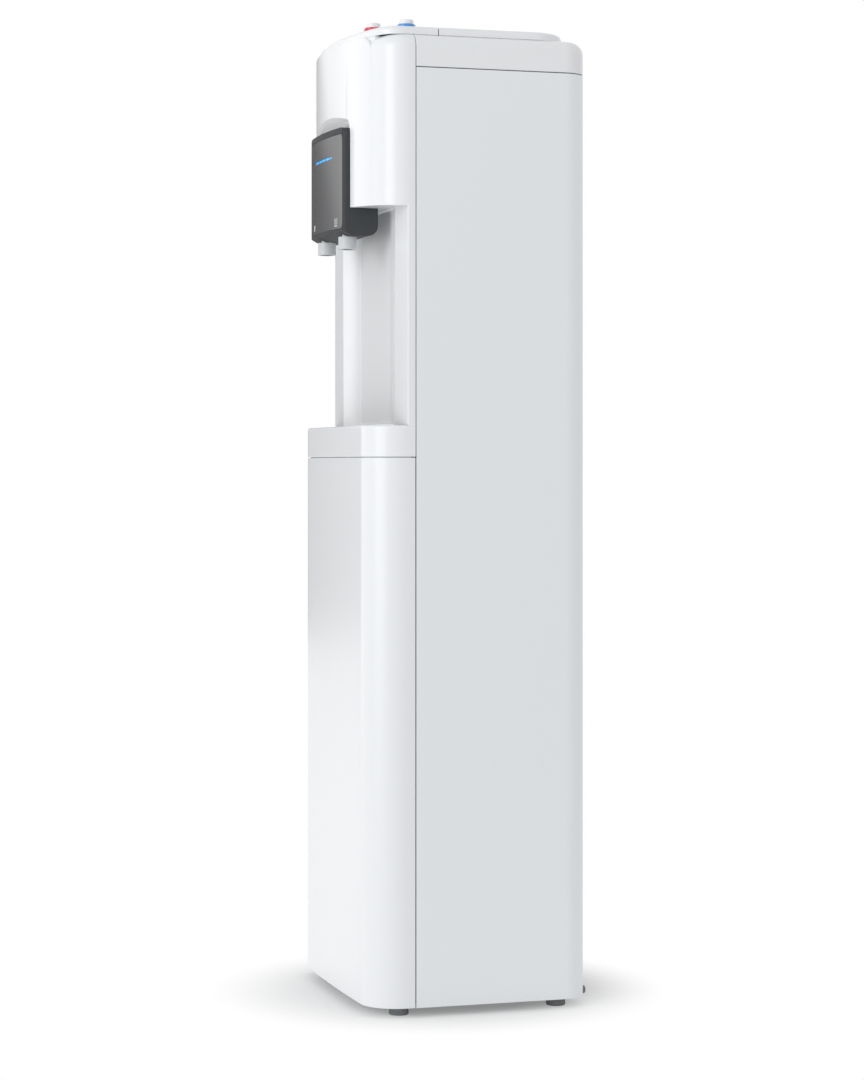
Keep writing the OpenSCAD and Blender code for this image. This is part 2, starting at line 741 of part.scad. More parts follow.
// Bevelled recess of the brow round the head
module head_recess() {
    intersection() {
        along_x(-recess_half_w, recess_half_w) polygon([
            [recess_front, recess_top + 18], [seat_y - 7.5, recess_top], [seat_y, recess_top - 10],
            [seat_y, alcove_top_z - 5], [recess_front, alcove_top_z - 5]
        ]);
        along_y(recess_front - 1, seat_y + 1) {
            low = alcove_top_z - 6;
            top = recess_top + 4;
            w = recess_half_w;
            translate([-w, low]) square([2 * w, top - recess_r - low]);
            translate([-w + recess_r, low]) square([2 * (w - recess_r), top - low]);
            for (s = [-1, 1]) translate([s * (w - recess_r), top - recess_r]) circle(r = recess_r);
        }
    }
}

// Window of the brow that the face plate fills, seen from the front
module plate_window(grow = 0) {
    w = plate_half + grow;
    low = alcove_top_z - 1;
    top = plate_top + grow;
    along_y(y_front - 5, y_seam - 8) {
        translate([-w, low]) square([2 * w, top - plate_corner - low]);
        translate([-(w - plate_corner), low]) square([2 * (w - plate_corner), top - low]);
        for (s = [-1, 1]) translate([s * (w - plate_corner), top - plate_corner])
            circle(r = plate_corner);
    }
}

ceiling_z = arch_top + shell_t;
spout_hole_r = 6;
spout_y = y_seam - 36;
nozzle_x = nozzle_pitch / 2;
nozzle_y = y_seam - nozzle_before_seam;
post_x = 14;

module head_posts() {
    for (s = [-1, 1]) translate([s * post_x, spout_y + 4, ceiling_z - 1]) cylinder(h = 12, r = 4);
}

// Seat of the face plate in the brow
module plate_seat() {
    intersection() {
        plate_window(seam_gap / 2);
        at_z(alcove_top_z - 2, shoulder_z + 2) difference() {
            translate([-half_w, y_front]) square([cabinet_w, depth / 2]);
            bowed_plan(brow_line, y_seam + 1, 0, skin);
        }
    }
}

// Walls that close the recess behind the head
module recess_box() {
    intersection() {
        translate([-recess_half_w - shell_t, y_front, ceiling_z - 4])
            cube([2 * (recess_half_w + shell_t), seat_y + shell_t - y_front,
                recess_top + 12 - ceiling_z]);
        at_z(ceiling_z - 5, recess_top + 9) bowed_plan(brow_line, y_seam, 0, skin + 0.5);
    }
}

module front_fascia() color(white) difference() {
    union() {
        ledge_block();
        brow_block();
    }
    alcove_air();
    at_z(fascia_z0 - 1, ledge_z - shell_t) bowed_plan(ledge_line, y_seam + 10, 0, shell_t);
    difference() {
        at_z(arch_top + shell_t, shoulder_z - shell_t)
            bowed_plan(brow_line, y_seam + 10, 0, skin + shell_t);
        recess_box();
        head_posts();
    }
    head_recess();
    plate_seat();
    // Opening under the raised rim
    at_z(shoulder_z - shell_t - 1, shoulder_z + 1) rim_plan(rim_foot);
    // Drip tray pocket with a rebate for its lip
    at_z(ledge_z - tray_h - 10, ledge_z + 1)
        round_rect(-tray_x - fit_gap, tray_y0 - fit_gap, tray_x + fit_gap, tray_y1 + fit_gap, tray_r);
    at_z(ledge_z - tray_lip_t, ledge_z + 1)
        round_rect(-tray_x - tray_lip - fit_gap, tray_y0 - tray_lip - fit_gap,
        tray_x + tray_lip + fit_gap, tray_y1 + tray_lip + fit_gap, tray_r + tray_lip);
    // Passages of the two spouts
    for (s = [-1, 1]) translate([s * nozzle_x, spout_y, alcove_top_z - 1])
        cylinder(h = 20, r = spout_hole_r);
}

module face_plate() color(white) difference() {
    intersection() {
        plate_window();
        at_z(alcove_top_z - 2, plate_top) difference() {
            bowed_plan(brow_line, y_seam);
            bowed_plan(brow_line, y_seam + 1, 0, plate_t);
        }
    }
    alcove_air();
    head_recess();
}

panel_top = panel_seam_z - seam_gap / 2;
panel_rib_t = 2;
module lower_front_panel() color(white) {
    difference() {
        at_z(foot_h, panel_top) bowed_plan(ledge_line, fascia_back);
        at_z(foot_h - 1, panel_top + 1) bowed_plan(ledge_line, y_seam + 10, 0, shell_t);
    }
    // Inner ribs that stiffen the panel
    for (i = [1 : 5]) at_z(foot_h + i * panel_h / 6, foot_h + i * panel_h / 6 + panel_rib_t)
        difference() {
        bowed_plan(ledge_line, fascia_back - 1, 0, shell_t - 0.5);
        bowed_plan(ledge_line, y_seam, 0, shell_t + 8);
    }
    // Top lip that hooks behind the ledge
    at_z(panel_top - 10, panel_top + 6) difference() {
        bowed_plan(ledge_line, fascia_back - 4, 0, shell_t + fit_gap);
        bowed_plan(ledge_line, y_seam, 0, shell_t + fit_gap + 2);
    }
    at_z(panel_top - 10, panel_top - 7) difference() {
        bowed_plan(ledge_line, fascia_back - 4, 0, shell_t - 0.5);
        bowed_plan(ledge_line, y_seam, 0, shell_t + fit_gap + 1);
    }
}

module rear_bumpers() color(grey) for (s = [-1, 1])
    translate([s * (half_w - rear_corner_r - 3), y_rear, foot_h + 3.5]) rotate([-90, 0, 0]) {
        rotate_extrude() polygon([[0, 0], [4.5, 0], [4.2, bumper_h - 0.8], [3.4, bumper_h],
            [0, bumper_h]]);
    }

// DISPENSING HEAD
face_y = y_brow - head_proud;
face_r = (head_x * head_x + face_bow * face_bow) / (2 * face_bow);
face_mid_y = face_y + face_r;
face_edge_y = face_y + face_bow;
lens_t = 2;
head_wall = 2.2;
chin_y1 = y_seam - chin_before_seam;
chin_r = 11;
chin_bevel = 5;
chin_top_z = arch_top - arch_r + sqrt(arch_r * arch_r - head_x * head_x) - 0.05;
head_edge_r = 4;

// Plan of the head: bowed face, round front corners
module head_plan(inset, back) {
    cx = head_x - head_edge_r;
    cy = face_mid_y - sqrt(pow(face_r - head_edge_r, 2) - cx * cx);
    intersection() {
        translate([0, face_mid_y]) circle(r = face_r - inset, $fn = 720);
        polygon([[-cx, cy], [-cx * 1.3, face_mid_y - (face_mid_y - cy) * 1.3],
                 [cx * 1.3, face_mid_y - (face_mid_y - cy) * 1.3], [cx, cy]]);
    }
    for (s = [-1, 1]) translate([s * cx, cy]) circle(r = head_edge_r - inset);
    translate([inset - head_x, cy]) square([head_w - 2 * inset, back - inset - cy]);
}

module head_block(inset) difference() {
    union() {
        // Slab in front of the brow
        intersection() {
            at_z(chin_z + inset, head_z1) head_plan(inset, seat_y - 0.05);
            along_y(face_y - 5, seat_y) {
                w = head_x - inset;
                top = head_z1 - inset;
                r = head_r - inset;
                translate([-w, chin_z]) square([2 * w, top - r - chin_z]);
                translate([-(w - r), chin_z]) square([2 * (w - r), top - chin_z]);
                for (s = [-1, 1]) translate([s * (w - r), top - r]) circle(r = r);
            }
        }
        // Block under the brow
        along_x(inset - head_x, head_x - inset) {
            y0 = face_edge_y + head_edge_r + 1;
            y1 = chin_y1 - inset;
            z0 = chin_z + inset;
            z1 = chin_top_z - inset;
            r = chin_r - inset;
            translate([y0, z0]) square([y1 - r - y0, z1 - z0]);
            translate([y0, z0 + r]) square([y1 - y0, z1 - z0 - r]);
            translate([y1 - r, z0 + r]) circle(r = r);
        }
    }
    // Bevel under the face
    along_x(-head_x - 1, head_x + 1) polygon([
        [face_y - 5, chin_z - 1], [face_edge_y + 12 + inset, chin_z - 1],
        [face_edge_y + 10 + inset, chin_z + inset],
        [face_edge_y + 0.5 + inset / 2, chin_z + chin_bevel + inset],
        [face_y - 5, chin_z + chin_bevel + inset]
    ]);
}

lens_side = 2.6;
lens_top = 7;
module face_window(inset) {
    round_rect(lens_side + inset - head_x, chin_z + chin_bevel + lens_side + inset,
        head_x - lens_side - inset,
               head_z1 - lens_top - inset, 6 - min(inset, 3));
}
module face_shell(outer, inner) difference() {
    translate([0, face_mid_y]) circle(r = face_r - outer, $fn = 720);
    translate([0, face_mid_y]) circle(r = face_r - inner, $fn = 720);
    translate([-face_r, face_mid_y - face_r / 2]) square([2 * face_r, 2 * face_r]);
}

module at_nozzles(y) for (s = [-1, 1]) translate([s * nozzle_x, y, 0]) children();

module dispense_head() color(black) difference() {
    head_block(0);
    difference() {
        head_block(head_wall);
        // Rim that the lens rests on
        at_z(chin_z, head_z1) face_shell(-1, lens_t + 1.6);
    }
    intersection() {
        at_z(chin_z, head_z1) face_shell(-1, lens_t + 0.05);
        along_y(face_y - 6, seat_y) face_window(0);
    }
    along_y(face_y - 6, face_edge_y + 4) face_window(2.5);
    at_nozzles(nozzle_y) translate([0, 0, chin_z - 1]) cylinder(h = 8, r = 6.2);
    at_nozzles(spout_y) translate([0, 0, chin_top_z - 6]) cylinder(h = 8, r = 6.2);
}

module head_lens() color([0.20, 0.20, 0.21]) difference() {
    intersection() {
        at_z(chin_z, head_z1) face_shell(0, lens_t);
        along_y(face_y - 6, seat_y) face_window(fit_gap / 2);
    }
    along_y(face_y - 6, seat_y) led_window(0.15);
}

led_z = chin_z + 86;
led_x1 = 34;
led_h = 2.4;
module led_window(grow) {
    round_rect(-led_x1 - grow, led_z - led_h / 2 - grow, led_x1 + grow, led_z + led_h / 2 + grow,
        led_h / 2 - 0.1);
}
module led_bar() color([0.15, 0.55, 0.95]) intersection() {
    at_z(chin_z, head_z1) face_shell(0.2, lens_t + 2.5);
    along_y(face_y - 6, seat_y) led_window(0);
}

board_back = seat_y - head_wall - 0.1;
module display_board() color([0.10, 0.35, 0.20]) {
    along_y(board_back - board_t, board_back) round_rect(-54, chin_z + 34, 54, head_z1 - 14, 3);
    along_y(face_y + 8, board_back - board_t) translate([-led_x1 + 2, led_z - 2])
        square([2 * led_x1 - 4, 4]);
}

arm_z = chin_z + 11;
module nozzle(x) translate([x, 0, 0]) {
    r = nozzle_od / 2;
    z0 = chin_z - nozzle_h;
    translate([0, nozzle_y, 0]) rotate_extrude() polygon([
        [r - 3, z0], [r - 0.4, z0], [r, z0 + 0.6], [r, chin_z - 0.05], [6, chin_z - 0.05],
        [6, arm_z + 5], [0, arm_z + 5], [0, arm_z - 2], [4, arm_z - 2], [4, z0 + 6], [r - 3, z0 + 5]
    ]);
    // Arm back to the socket under the spout
    translate([-4.5, nozzle_y, arm_z - 4.5]) cube([9, spout_y - nozzle_y, 9]);
    translate([0, spout_y, 0]) rotate_extrude() polygon([
        [0, arm_z - 5], [7, arm_z - 5], [7, chin_top_z - 8], [5.05, chin_top_z - 8],
        [5.05, arm_z + 6], [0, arm_z + 6]
    ]);
}
module hot_nozzle() color([0.80, 0.82, 0.84]) nozzle(-nozzle_x);
module cold_nozzle() color([0.80, 0.82, 0.84]) nozzle(nozzle_x);

// Solenoid valve behind the brow, above its nozzle
valve_z = ceiling_z + 12;
valve_y = spout_y + 6;
hose_r = 5;
hose_bend = 8;
front_run_y = y_seam - 8;
valve_tail_y = front_run_y - hose_bend - 1;
valve_back = 8;
module valve(x) translate([x, valve_y, 0]) {
    translate([-13, -11.5, valve_z]) cube([26, valve_back + 11.5, 18]);
    translate([0, 0, valve_z + 17.9]) cylinder(h = 24, r = 11);
    translate([0, spout_y - valve_y, 0]) rotate_extrude() polygon([
        [3, arm_z + 6.05], [5, arm_z + 6.05], [5, valve_z + 0.5], [3, valve_z + 0.5]
    ]);
    translate([0, valve_back - 1, valve_z + 9]) rotate([-90, 0, 0])
        cylinder(h = valve_tail_y - valve_y - valve_back + 1, r = 4);
}
module hot_valve() color([0.75, 0.76, 0.78]) valve(-nozzle_x);
module cold_valve() color([0.75, 0.76, 0.78]) valve(nozzle_x);

// DRIP TRAY
module drip_tray() color([0.20, 0.20, 0.21]) {
    low = ledge_z - tray_h;
    difference() {
        union() {
            at_z(low, ledge_z - 0.2) round_rect(-tray_x, tray_y0, tray_x, tray_y1, tray_r);
            at_z(ledge_z - tray_lip_t + 0.2, ledge_z - 0.2)
                round_rect(-tray_x - tray_lip, tray_y0 - tray_lip, tray_x + tray_lip,
                    tray_y1 + tray_lip, tray_r + tray_lip);
        }
        at_z(low + tray_wall, ledge_z)
            round_rect(-tray_x + tray_wall, tray_y0 + tray_wall, tray_x - tray_wall,
                tray_y1 - tray_wall, tray_r - tray_wall);
    }
    // Step that the grille rests on
    at_z(ledge_z - 7, ledge_z - 4) difference() {
        round_rect(-tray_x + 1, tray_y0 + 1, tray_x - 1, tray_y1 - 1, tray_r - 1);
        round_rect(-tray_x + 4, tray_y0 + 4, tray_x - 4, tray_y1 - 4, tray_r - 4);
    }
}

grille_slot_w = 3.2;
grille_slot_pitch = 7;
module drip_grille() color([0.16, 0.16, 0.17]) {
    in = tray_wall + fit_gap;
    slots = floor((tray_w - 30) / grille_slot_pitch / 2);
    difference() {
        at_z(ledge_z - 3.8, ledge_z - 0.8)
            round_rect(-tray_x + in, tray_y0 + in, tray_x - in, tray_y1 - in, tray_r - in);
        for (i = [-slots : slots]) at_z(ledge_z - 6, ledge_z + 1)
            round_rect(i * grille_slot_pitch - grille_slot_w / 2, tray_y0 + 7,
                       i * grille_slot_pitch + grille_slot_w / 2, tray_y1 - 7, grille_slot_w / 2 - 0.05);
    }
}

// BOTTLE SEAT, PROBE AND COLD TANK
seat_t = 2.5;
socket_r = 36;
socket_h = 20;
seat_z = rim_z - seat_drop;
cone_top_r = well_r - step_w - 2;
flange_z0 = step_z + 0.2;

module bottle_seat() color([0.85, 0.86, 0.88]) translate([0, well_y, 0]) rotate_extrude($fn = 128)
    polygon([
    [probe_d / 2 - 2, seat_z], [socket_r + seat_t, seat_z], [socket_r + seat_t, seat_z + socket_h],
    [cone_top_r, flange_z0], [well_r - fit_gap, flange_z0], [well_r - fit_gap, rim_z - 1.4],
    [cone_top_r - 1, rim_z - 1.4], [socket_r, seat_z + socket_h + 3], [socket_r, seat_z + seat_t],
    [probe_d / 2 - 2, seat_z + seat_t]
]);

probe_z0 = seat_z + seat_t;
probe_pin_top = probe_z0 + probe_h - 13;
module bottle_probe() color([0.88, 0.89, 0.91]) translate([0, well_y, 0]) difference() {
    rotate_extrude() polygon([
        [4, seat_z - 16], [probe_d / 2 - 2.1, seat_z - 16], [probe_d / 2 - 2.1, probe_z0],
        [probe_d / 2 + 8, probe_z0],
        [probe_d / 2 + 8, probe_z0 + 2.5], [probe_d / 2, probe_z0 + 2.5], [probe_d / 2, probe_pin_top],
        [probe_d / 2 - 5, probe_z0 + probe_h], [0, probe_z0 + probe_h], [0, probe_pin_top + 2],
        [4, probe_pin_top + 2]
    ]);
    translate([0, 0, probe_pin_top + 4]) for (a = [0, 90]) rotate([0, 90, a])
        translate([0, 0, -20]) cylinder(h = 40, r = 2.5);
}

seal_r = 1.8;
lid_top = seat_z - fit_gap - 2 * seal_r;
lid_t = 4;
tank_top = lid_top - lid_t;
tank_low = tank_top - cold_tank_h;
evap_r = 3;
evap_pitch = 2 * evap_r + 1.5;
evap_steps = 24;
evap_big_r = (cold_tank_r + 0.3) / cos(180 / evap_steps) + evap_r;
foam_bore = evap_big_r + evap_r + 0.4;
foam_front = well_y - wall_y - shell_t - fit_gap;
foam_x = foam_bore + 23;
foam_low = tank_low - 16;

module seat_seal() color([0.15, 0.15, 0.16]) translate([0, well_y, lid_top + seal_r])
    rotate_extrude() translate([26, 0]) circle(r = seal_r, $fn = 24);

module cold_tank() color(steel) translate([0, well_y, 0]) {
    rotate_extrude() difference() {
        translate([0, tank_low]) square([cold_tank_r, cold_tank_h]);
        translate([-1, tank_low + 1]) square([cold_tank_r, cold_tank_h + 1]);
    }
    // Outlet stubs under the floor
    for (x = [-14, 14]) translate([x, 0, tank_low - 14]) cylinder(h = 14.5, r = 4);
}

module cold_tank_lid() color([0.85, 0.86, 0.88]) translate([0, well_y, 0]) difference() {
    translate([0, 0, tank_top]) cylinder(h = lid_t, r = foam_bore + 4);
    translate([0, 0, tank_top - 1]) cylinder(h = lid_t + 2, r = probe_d / 2 + 1);
}

module cold_tank_foam() color([0.93, 0.93, 0.90]) difference() {
    at_z(foam_low, tank_top) round_rect(-foam_x, well_y - foam_front, foam_x, well_y + foam_front, 18);
    translate([0, well_y, tank_low]) cylinder(h = cold_tank_h + 1, r = foam_bore);
    for (x = [-14, 14]) translate([x, well_y, foam_low - 1]) cylinder(h = 20, r = hose_r + fit_gap);
    translate([foam_bore - 8, well_y - 8, tank_low]) cube([40, 16, 16]);
}

module evaporator() color(copper) {
    translate([0, well_y, tank_low + 12])
        helix(evap_big_r, evap_r, evap_pitch, evaporator_turns, evap_steps, 6);
}

// Sheet shelves between the side panels
shelf_clear = fit_gap;
module shelf(z) difference() {
    union() {
        at_z(z - 1.5, z) shelf_plan();
        at_z(z - 14, z) difference() {
            shelf_plan();
            translate([1.5 - shelf_half, y_seam - 10]) square([2 * (shelf_half - 1.5), 300]);
        }
    }
    children();
}
shelf_half = half_w - sheet_t - shelf_clear;
shelf_y0 = y_seam + 12;
shelf_y1 = recess_y - sheet_t - fit_gap;
module shelf_plan() { translate([-shelf_half, shelf_y0]) square([2 * shelf_half, shelf_y1 - shelf_y0]); }

cold_shelf_z = foam_low - 0.05;
hot_shelf_z = ledge_z + 20;
module cold_shelf() color(steel) shelf(cold_shelf_z) {
    for (x = [-14, 14]) translate([x, well_y, cold_shelf_z - 5]) cylinder(h = 10, r = 9);
    translate([-hose_x, hot_y - 3, cold_shelf_z - 16]) cylinder(h = 20, r = 10);
    translate([hose_x, cold_turn_y + 2, cold_shelf_z - 16]) cylinder(h = 20, r = 10);
    translate([foam_bore + 12, well_y - 12, cold_shelf_z - 5]) cube([30, 24, 10]);
}
module hot_shelf() color(steel) shelf(hot_shelf_z) {
    translate([hot_x, hot_y, hot_shelf_z - 5]) cylinder(h = 10, r = 14);
    translate([60, well_y - 16, hot_shelf_z - 5]) cube([60, 32, 10]);
}

// HOT TANK
hot_x = -72;
hot_y = well_y + 10;
hot_z0 = hot_shelf_z + 8;
hot_z1 = hot_z0 + hot_tank_h;
module hot_tank() color(steel) translate([hot_x, hot_y, 0]) {
    rotate_extrude() {
        difference() {
            translate([0, hot_z0]) square([hot_tank_r, hot_tank_h]);
            translate([-1, hot_z0 + 1]) square([hot_tank_r, hot_tank_h - 2]);
        }
    }
    translate([0, 0, hot_z1 - 0.5]) cylinder(h = 14, r = 4);
    translate([24, 0, hot_z1 - 0.5]) cylinder(h = 14, r = 4);
    // Drain stub and the two thermostats
    translate([0, 0, hot_z0 - 13.5]) cylinder(h = 14, r = 4);
    for (s = [-1, 1]) translate([s * 20, -18, hot_z1]) cylinder(h = 6, r = 8);
}
module heater_band() color([0.60, 0.58, 0.52]) translate([hot_x, hot_y, hot_z0 + 30]) difference() {
    union() {
        cylinder(h = 36, r = hot_tank_r + 3);
        translate([-8, -hot_tank_r - 8, 6]) cube([16, 12, 24]);
    }
    translate([0, 0, -1]) cylinder(h = 38, r = hot_tank_r + 0.05);
}
module hot_tank_jacket() color([0.90, 0.90, 0.86]) translate([hot_x, hot_y, 0]) difference() {
    translate([0, 0, hot_shelf_z + 0.05])
        cylinder(h = hot_z1 - hot_shelf_z - 0.05, r = hot_tank_r + 3 + jacket_t);
    translate([0, 0, hot_z0 - 0.05]) cylinder(h = hot_tank_h + 1, r = hot_tank_r + 3.3);
    translate([0, 0, hot_shelf_z - 1]) cylinder(h = 20, r = 5);
    translate([-9, -hot_tank_r - 9, hot_z0 + 35]) cube([18, 14, hot_tank_h]);
}

// COOLING UNIT
comp_z0 = base_top + 12;
module compressor() color([0.10, 0.10, 0.11]) translate([0, compressor_y, 0]) {
    rotate_extrude() {
        translate([0, comp_z0 + 3]) square([compressor_r - 14, compressor_h - 30]);
        polygon([[0, comp_z0 + 3], [compressor_r - 12, comp_z0 + 3], [compressor_r, comp_z0 + 18],
                 [compressor_r, comp_z0 + compressor_h - 34],
                 [compressor_r - 10, comp_z0 + compressor_h - 12],
                 [compressor_r - 34, comp_z0 + compressor_h], [0, comp_z0 + compressor_h]]);
        translate([0, comp_z0 + 84]) square([compressor_r + 3, 4]);
    }
    // Foot plate with its four ears
    difference() {
        at_z(comp_z0, comp_z0 + 3.5)
            round_rect(-grommet_x - 12, -grommet_dy - 12, grommet_x + 12, grommet_dy + 12, 12);
        for (x = [-grommet_x, grommet_x], y = [-grommet_dy, grommet_dy])
            translate([x, y, comp_z0 - 1]) cylinder(h = 6, r = 6.2);
    }
    // Suction, discharge and process stubs
    translate([-compressor_r + 10, 30, comp_z0 + 70]) rotate([0, -60, 90]) cylinder(h = 24, r = 4);
}
module compressor_grommets() color([0.12, 0.12, 0.13]) for (p = grommet_places) translate([p[0], p[1], 0])
    rotate_extrude() polygon([
        [stud_r + 0.05, base_top], [9, base_top], [9, comp_z0 - 0.05], [6.1, comp_z0 - 0.05],
        [6.1, comp_z0 + 3.6],
        [9, comp_z0 + 3.6], [8, comp_z0 + 7], [stud_r + 0.05, comp_z0 + 7]
    ]);
module terminal_cover() color([0.14, 0.14, 0.15]) translate([0, compressor_y, 0]) {
    x = compressor_r + 0.6;
    along_y(-18, 18) polygon([[x - 4 + 4, comp_z0 + 26], [x + 20, comp_z0 + 26], [x + 26, comp_z0 + 34],
        [x + 26, comp_z0 + 72], [x + 20, comp_z0 + 78], [x + 0, comp_z0 + 78]]);
}

run_half = recess_half - 24;
coil_y = rear_outer - 16;
coil_z0 = recess_z0 + 30;
tube_r = condenser_tube_d / 2;
tail_x = run_half + 14;
coil_z1 = coil_z0 + (condenser_runs - 1) * condenser_pitch;
comp_top = comp_z0 + compressor_h;
drier_h = 110;
drier_z = recess_z0 - 46 - drier_h;
module condenser_tube() color([0.09, 0.09, 0.10]) {
    for (i = [0 : condenser_runs - 1])
        bar([-run_half, coil_y, coil_z0 + i * condenser_pitch],
            [run_half, coil_y, coil_z0 + i * condenser_pitch], tube_r);
    for (i = [0 : condenser_runs - 2]) {
        s = i % 2 == 0 ? 1 : -1;
        translate([s * run_half, coil_y, coil_z0 + (i + 0.5) * condenser_pitch]) rotate([90, 0, 0])
            rotate([0, 0, s > 0 ? -90 : 90]) rotate_extrude(angle = 180)
                translate([condenser_pitch / 2, 0]) circle(r = tube_r, $fn = 32);
    }
    // Tail that comes down to the filter drier
    pipe([[-run_half, coil_y, coil_z0], [-tail_x, coil_y, coil_z0],
        [-tail_x, coil_y, drier_z + drier_h]], tube_r, 10);
    // Discharge line from the compressor to the top run
    last = condenser_runs % 2 == 0 ? -1 : 1;
    pipe([[last * run_half, coil_y, coil_z1], [last * tail_x, coil_y, coil_z1],
        [last * tail_x, coil_y, recess_z0 - 24],
          [last * tail_x, compressor_y + 34, recess_z0 - 24], [20, compressor_y + 12, comp_top + 26],
          [20, compressor_y + 12, comp_top]], tube_r, 10);
}

wire_half = run_half - 4;
wire_z0 = coil_z0 - 10;
wire_z1 = coil_z1 + 10;
module condenser_wires() color([0.09, 0.09, 0.10])
    for (i = [0 : wire_count - 1], s = [-1, 1])
        translate([-wire_half + i * 2 * wire_half / (wire_count - 1),
            coil_y + s * (tube_r + wire_d / 2 + 0.05), wire_z0])
            cylinder(h = wire_z1 - wire_z0, r = wire_d / 2, $fn = 8);

strap_y1 = coil_y - tube_r - 0.1;
module condenser_straps() color([0.09, 0.09, 0.10]) for (s = [-1, 1]) {
    x = s * (run_half - 1.4);
    translate([x - 1.2, recess_y, wire_z0 + 30]) cube([2.4, strap_y1 - recess_y, 12]);
    translate([x - 1.2, recess_y, wire_z1 - 42]) cube([2.4, strap_y1 - recess_y, 12]);
    translate([x - 1.2, strap_y1 - 1.5, wire_z0]) cube([2.4, 1.5, wire_z1 - wire_z0]);
}

module filter_drier() color(copper) translate([-tail_x, coil_y, drier_z]) rotate_extrude() polygon([
    [0, 0], [2, 0], [2, 10], [9, 18], [9, drier_h - 18], [tube_r + 0.8, drier_h - 10],
    [tube_r + 0.8, drier_h], [0, drier_h]
]);

suction_r = 4;
module suction_line() color(copper) pipe([
    [foam_bore + 24, well_y, foam_low - 1.5], [foam_bore + 24, well_y, hot_shelf_z - 120],
    [foam_bore + 24, compressor_y - 30, recess_z0 - 20], [40, compressor_y - 30, recess_z0 - 20],
    [20, compressor_y - 12, comp_top + 30], [20, compressor_y - 12, comp_top]
], suction_r, 10);

// HOSES
hose_x = 112;
hose_z = valve_z + 9;
cold_turn_y = well_y - 24;
module cold_hose() color([0.80, 0.82, 0.84]) pipe([
    [14, well_y, tank_low - 14.05], [14, well_y, cold_shelf_z - 26], [14, cold_turn_y, cold_shelf_z - 26],
    [hose_x, cold_turn_y, cold_shelf_z - 26], [hose_x, well_y - 14, hose_z],
    [hose_x - 14, front_run_y + 2, hose_z],
    [nozzle_x, front_run_y, hose_z], [nozzle_x, valve_tail_y + 0.05, hose_z]
], hose_r, hose_bend);
module hot_hose() color([0.80, 0.82, 0.84]) pipe([
    [hot_x, hot_y, hot_z1 + 13.55], [hot_x, hot_y, hot_z1 + 30], [-hose_x, hot_y, hot_z1 + 30],
    [-hose_x, well_y - 10, hose_z], [14 - hose_x, front_run_y + 2, hose_z],
    [-nozzle_x, front_run_y, hose_z], [-nozzle_x, valve_tail_y + 0.05, hose_z]
], hose_r, hose_bend);
module supply_hose() color([0.80, 0.82, 0.84]) pipe([
    [-14, well_y, tank_low - 14.05], [-14, well_y, hot_z1 + 30], [hot_x + 24, hot_y, hot_z1 + 30],
    [hot_x + 24, hot_y, hot_z1 + 13.55]
], hose_r, hose_bend);

// DRAIN
drain_r = 9;
drain_x = 0;
drain_z = hot_shelf_z - 28;
drain_reach = 20;
module drain_pipe() color([0.85, 0.86, 0.88]) {
    translate([drain_x, recess_y + drain_reach, drain_z]) rotate([90, 0, 0]) difference() {
        union() {
            cylinder(h = drain_reach + 14, r = drain_r);
            translate([0, 0, drain_reach - 2.5]) cylinder(h = 2.5, r = drain_r + 5);
        }
        translate([0, 0, -1]) cylinder(h = drain_reach + 9, r = 6);
    }
    pipe([[drain_x, recess_y - 12, drain_z], [drain_x, recess_y - 30, drain_z],
        [hot_x, hot_y + 30, drain_z],
          [hot_x, hot_y, drain_z], [hot_x, hot_y, hot_z0 - 13.55]], 4.5, 8);
}
module drain_cap() color([0.85, 0.86, 0.88]) translate([drain_x, recess_y + drain_reach, drain_z])
    rotate([90, 0, 0]) {
    difference() {
        translate([0, 0, -3]) cylinder(h = 15, r = drain_r + 3);
        cylinder(h = 20, r = drain_r + fit_gap);
    }
}

// SWITCHES, INLET AND SCREWS
frame_t = 1.5;
rocker_y = rear_outer - 4;
module switch_frames() color([0.12, 0.12, 0.13]) for (s = [-1, 1])
    translate([s * switch_x, 0, switch_z]) {
    difference() {
        union() {
            translate([-switch_w / 2 - 2, rear_outer, -switch_h / 2 - 2])
                cube([switch_w + 4, frame_t, switch_h + 4]);
            translate([-switch_w / 2 + 0.1, rear_outer - 16, -switch_h / 2 + 0.1])
                cube([switch_w - 0.2, 16.5, switch_h - 0.2]);
        }
        translate([-switch_w / 2 + 1.4, rear_outer - 13, -switch_h / 2 + 1.4])
            cube([switch_w - 2.8, 20, switch_h - 2.8]);
    }
    for (x = [-switch_w / 2 + 1, switch_w / 2 - 3]) translate([x, rocker_y, 0]) rotate([0, 90, 0])
        cylinder(h = 2, r = 1.2);
}
rocker_tilt = 8;
module rocker(x) translate([x, rocker_y, switch_z]) rotate([-rocker_tilt, 0, 0]) difference() {
    along_x(-switch_w / 2 + 1.8, switch_w / 2 - 1.8) polygon([
        [-3.5, -2.5], [-3.5, 2.5], [3.6, 8.6], [5.4, 8.2], [4.3, 0], [5.4, -8.2], [3.6, -8.6]
    ]);
    rotate([0, 90, 0]) translate([0, 0, -10]) cylinder(h = 20, r = 1.25);
}
module hot_switch() color([0.75, 0.10, 0.10]) rocker(switch_x);
module cold_switch() color([0.10, 0.40, 0.20]) rocker(-switch_x);

inlet_x = -82;
inlet_z = base_z + base_rim_h + 30;
module power_inlet() color([0.12, 0.12, 0.13]) {
    translate([inlet_x, y_rear - 1, inlet_z]) rotate([90, 0, 0]) difference() {
        union() {
            cylinder(h = 16, r = 6);
            translate([0, 0, 4]) cylinder(h = 5, r = 9);
        }
        translate([0, 0, -1]) cylinder(h = 20, r = 3.6);
    }
    translate([inlet_x - 14, y_rear - 12, base_top]) difference() {
        cube([28, 2, inlet_z - base_top + 12]);
        translate([14, 3, inlet_z - base_top]) rotate([90, 0, 0]) cylinder(h = 5, r = 6.05);
    }
}

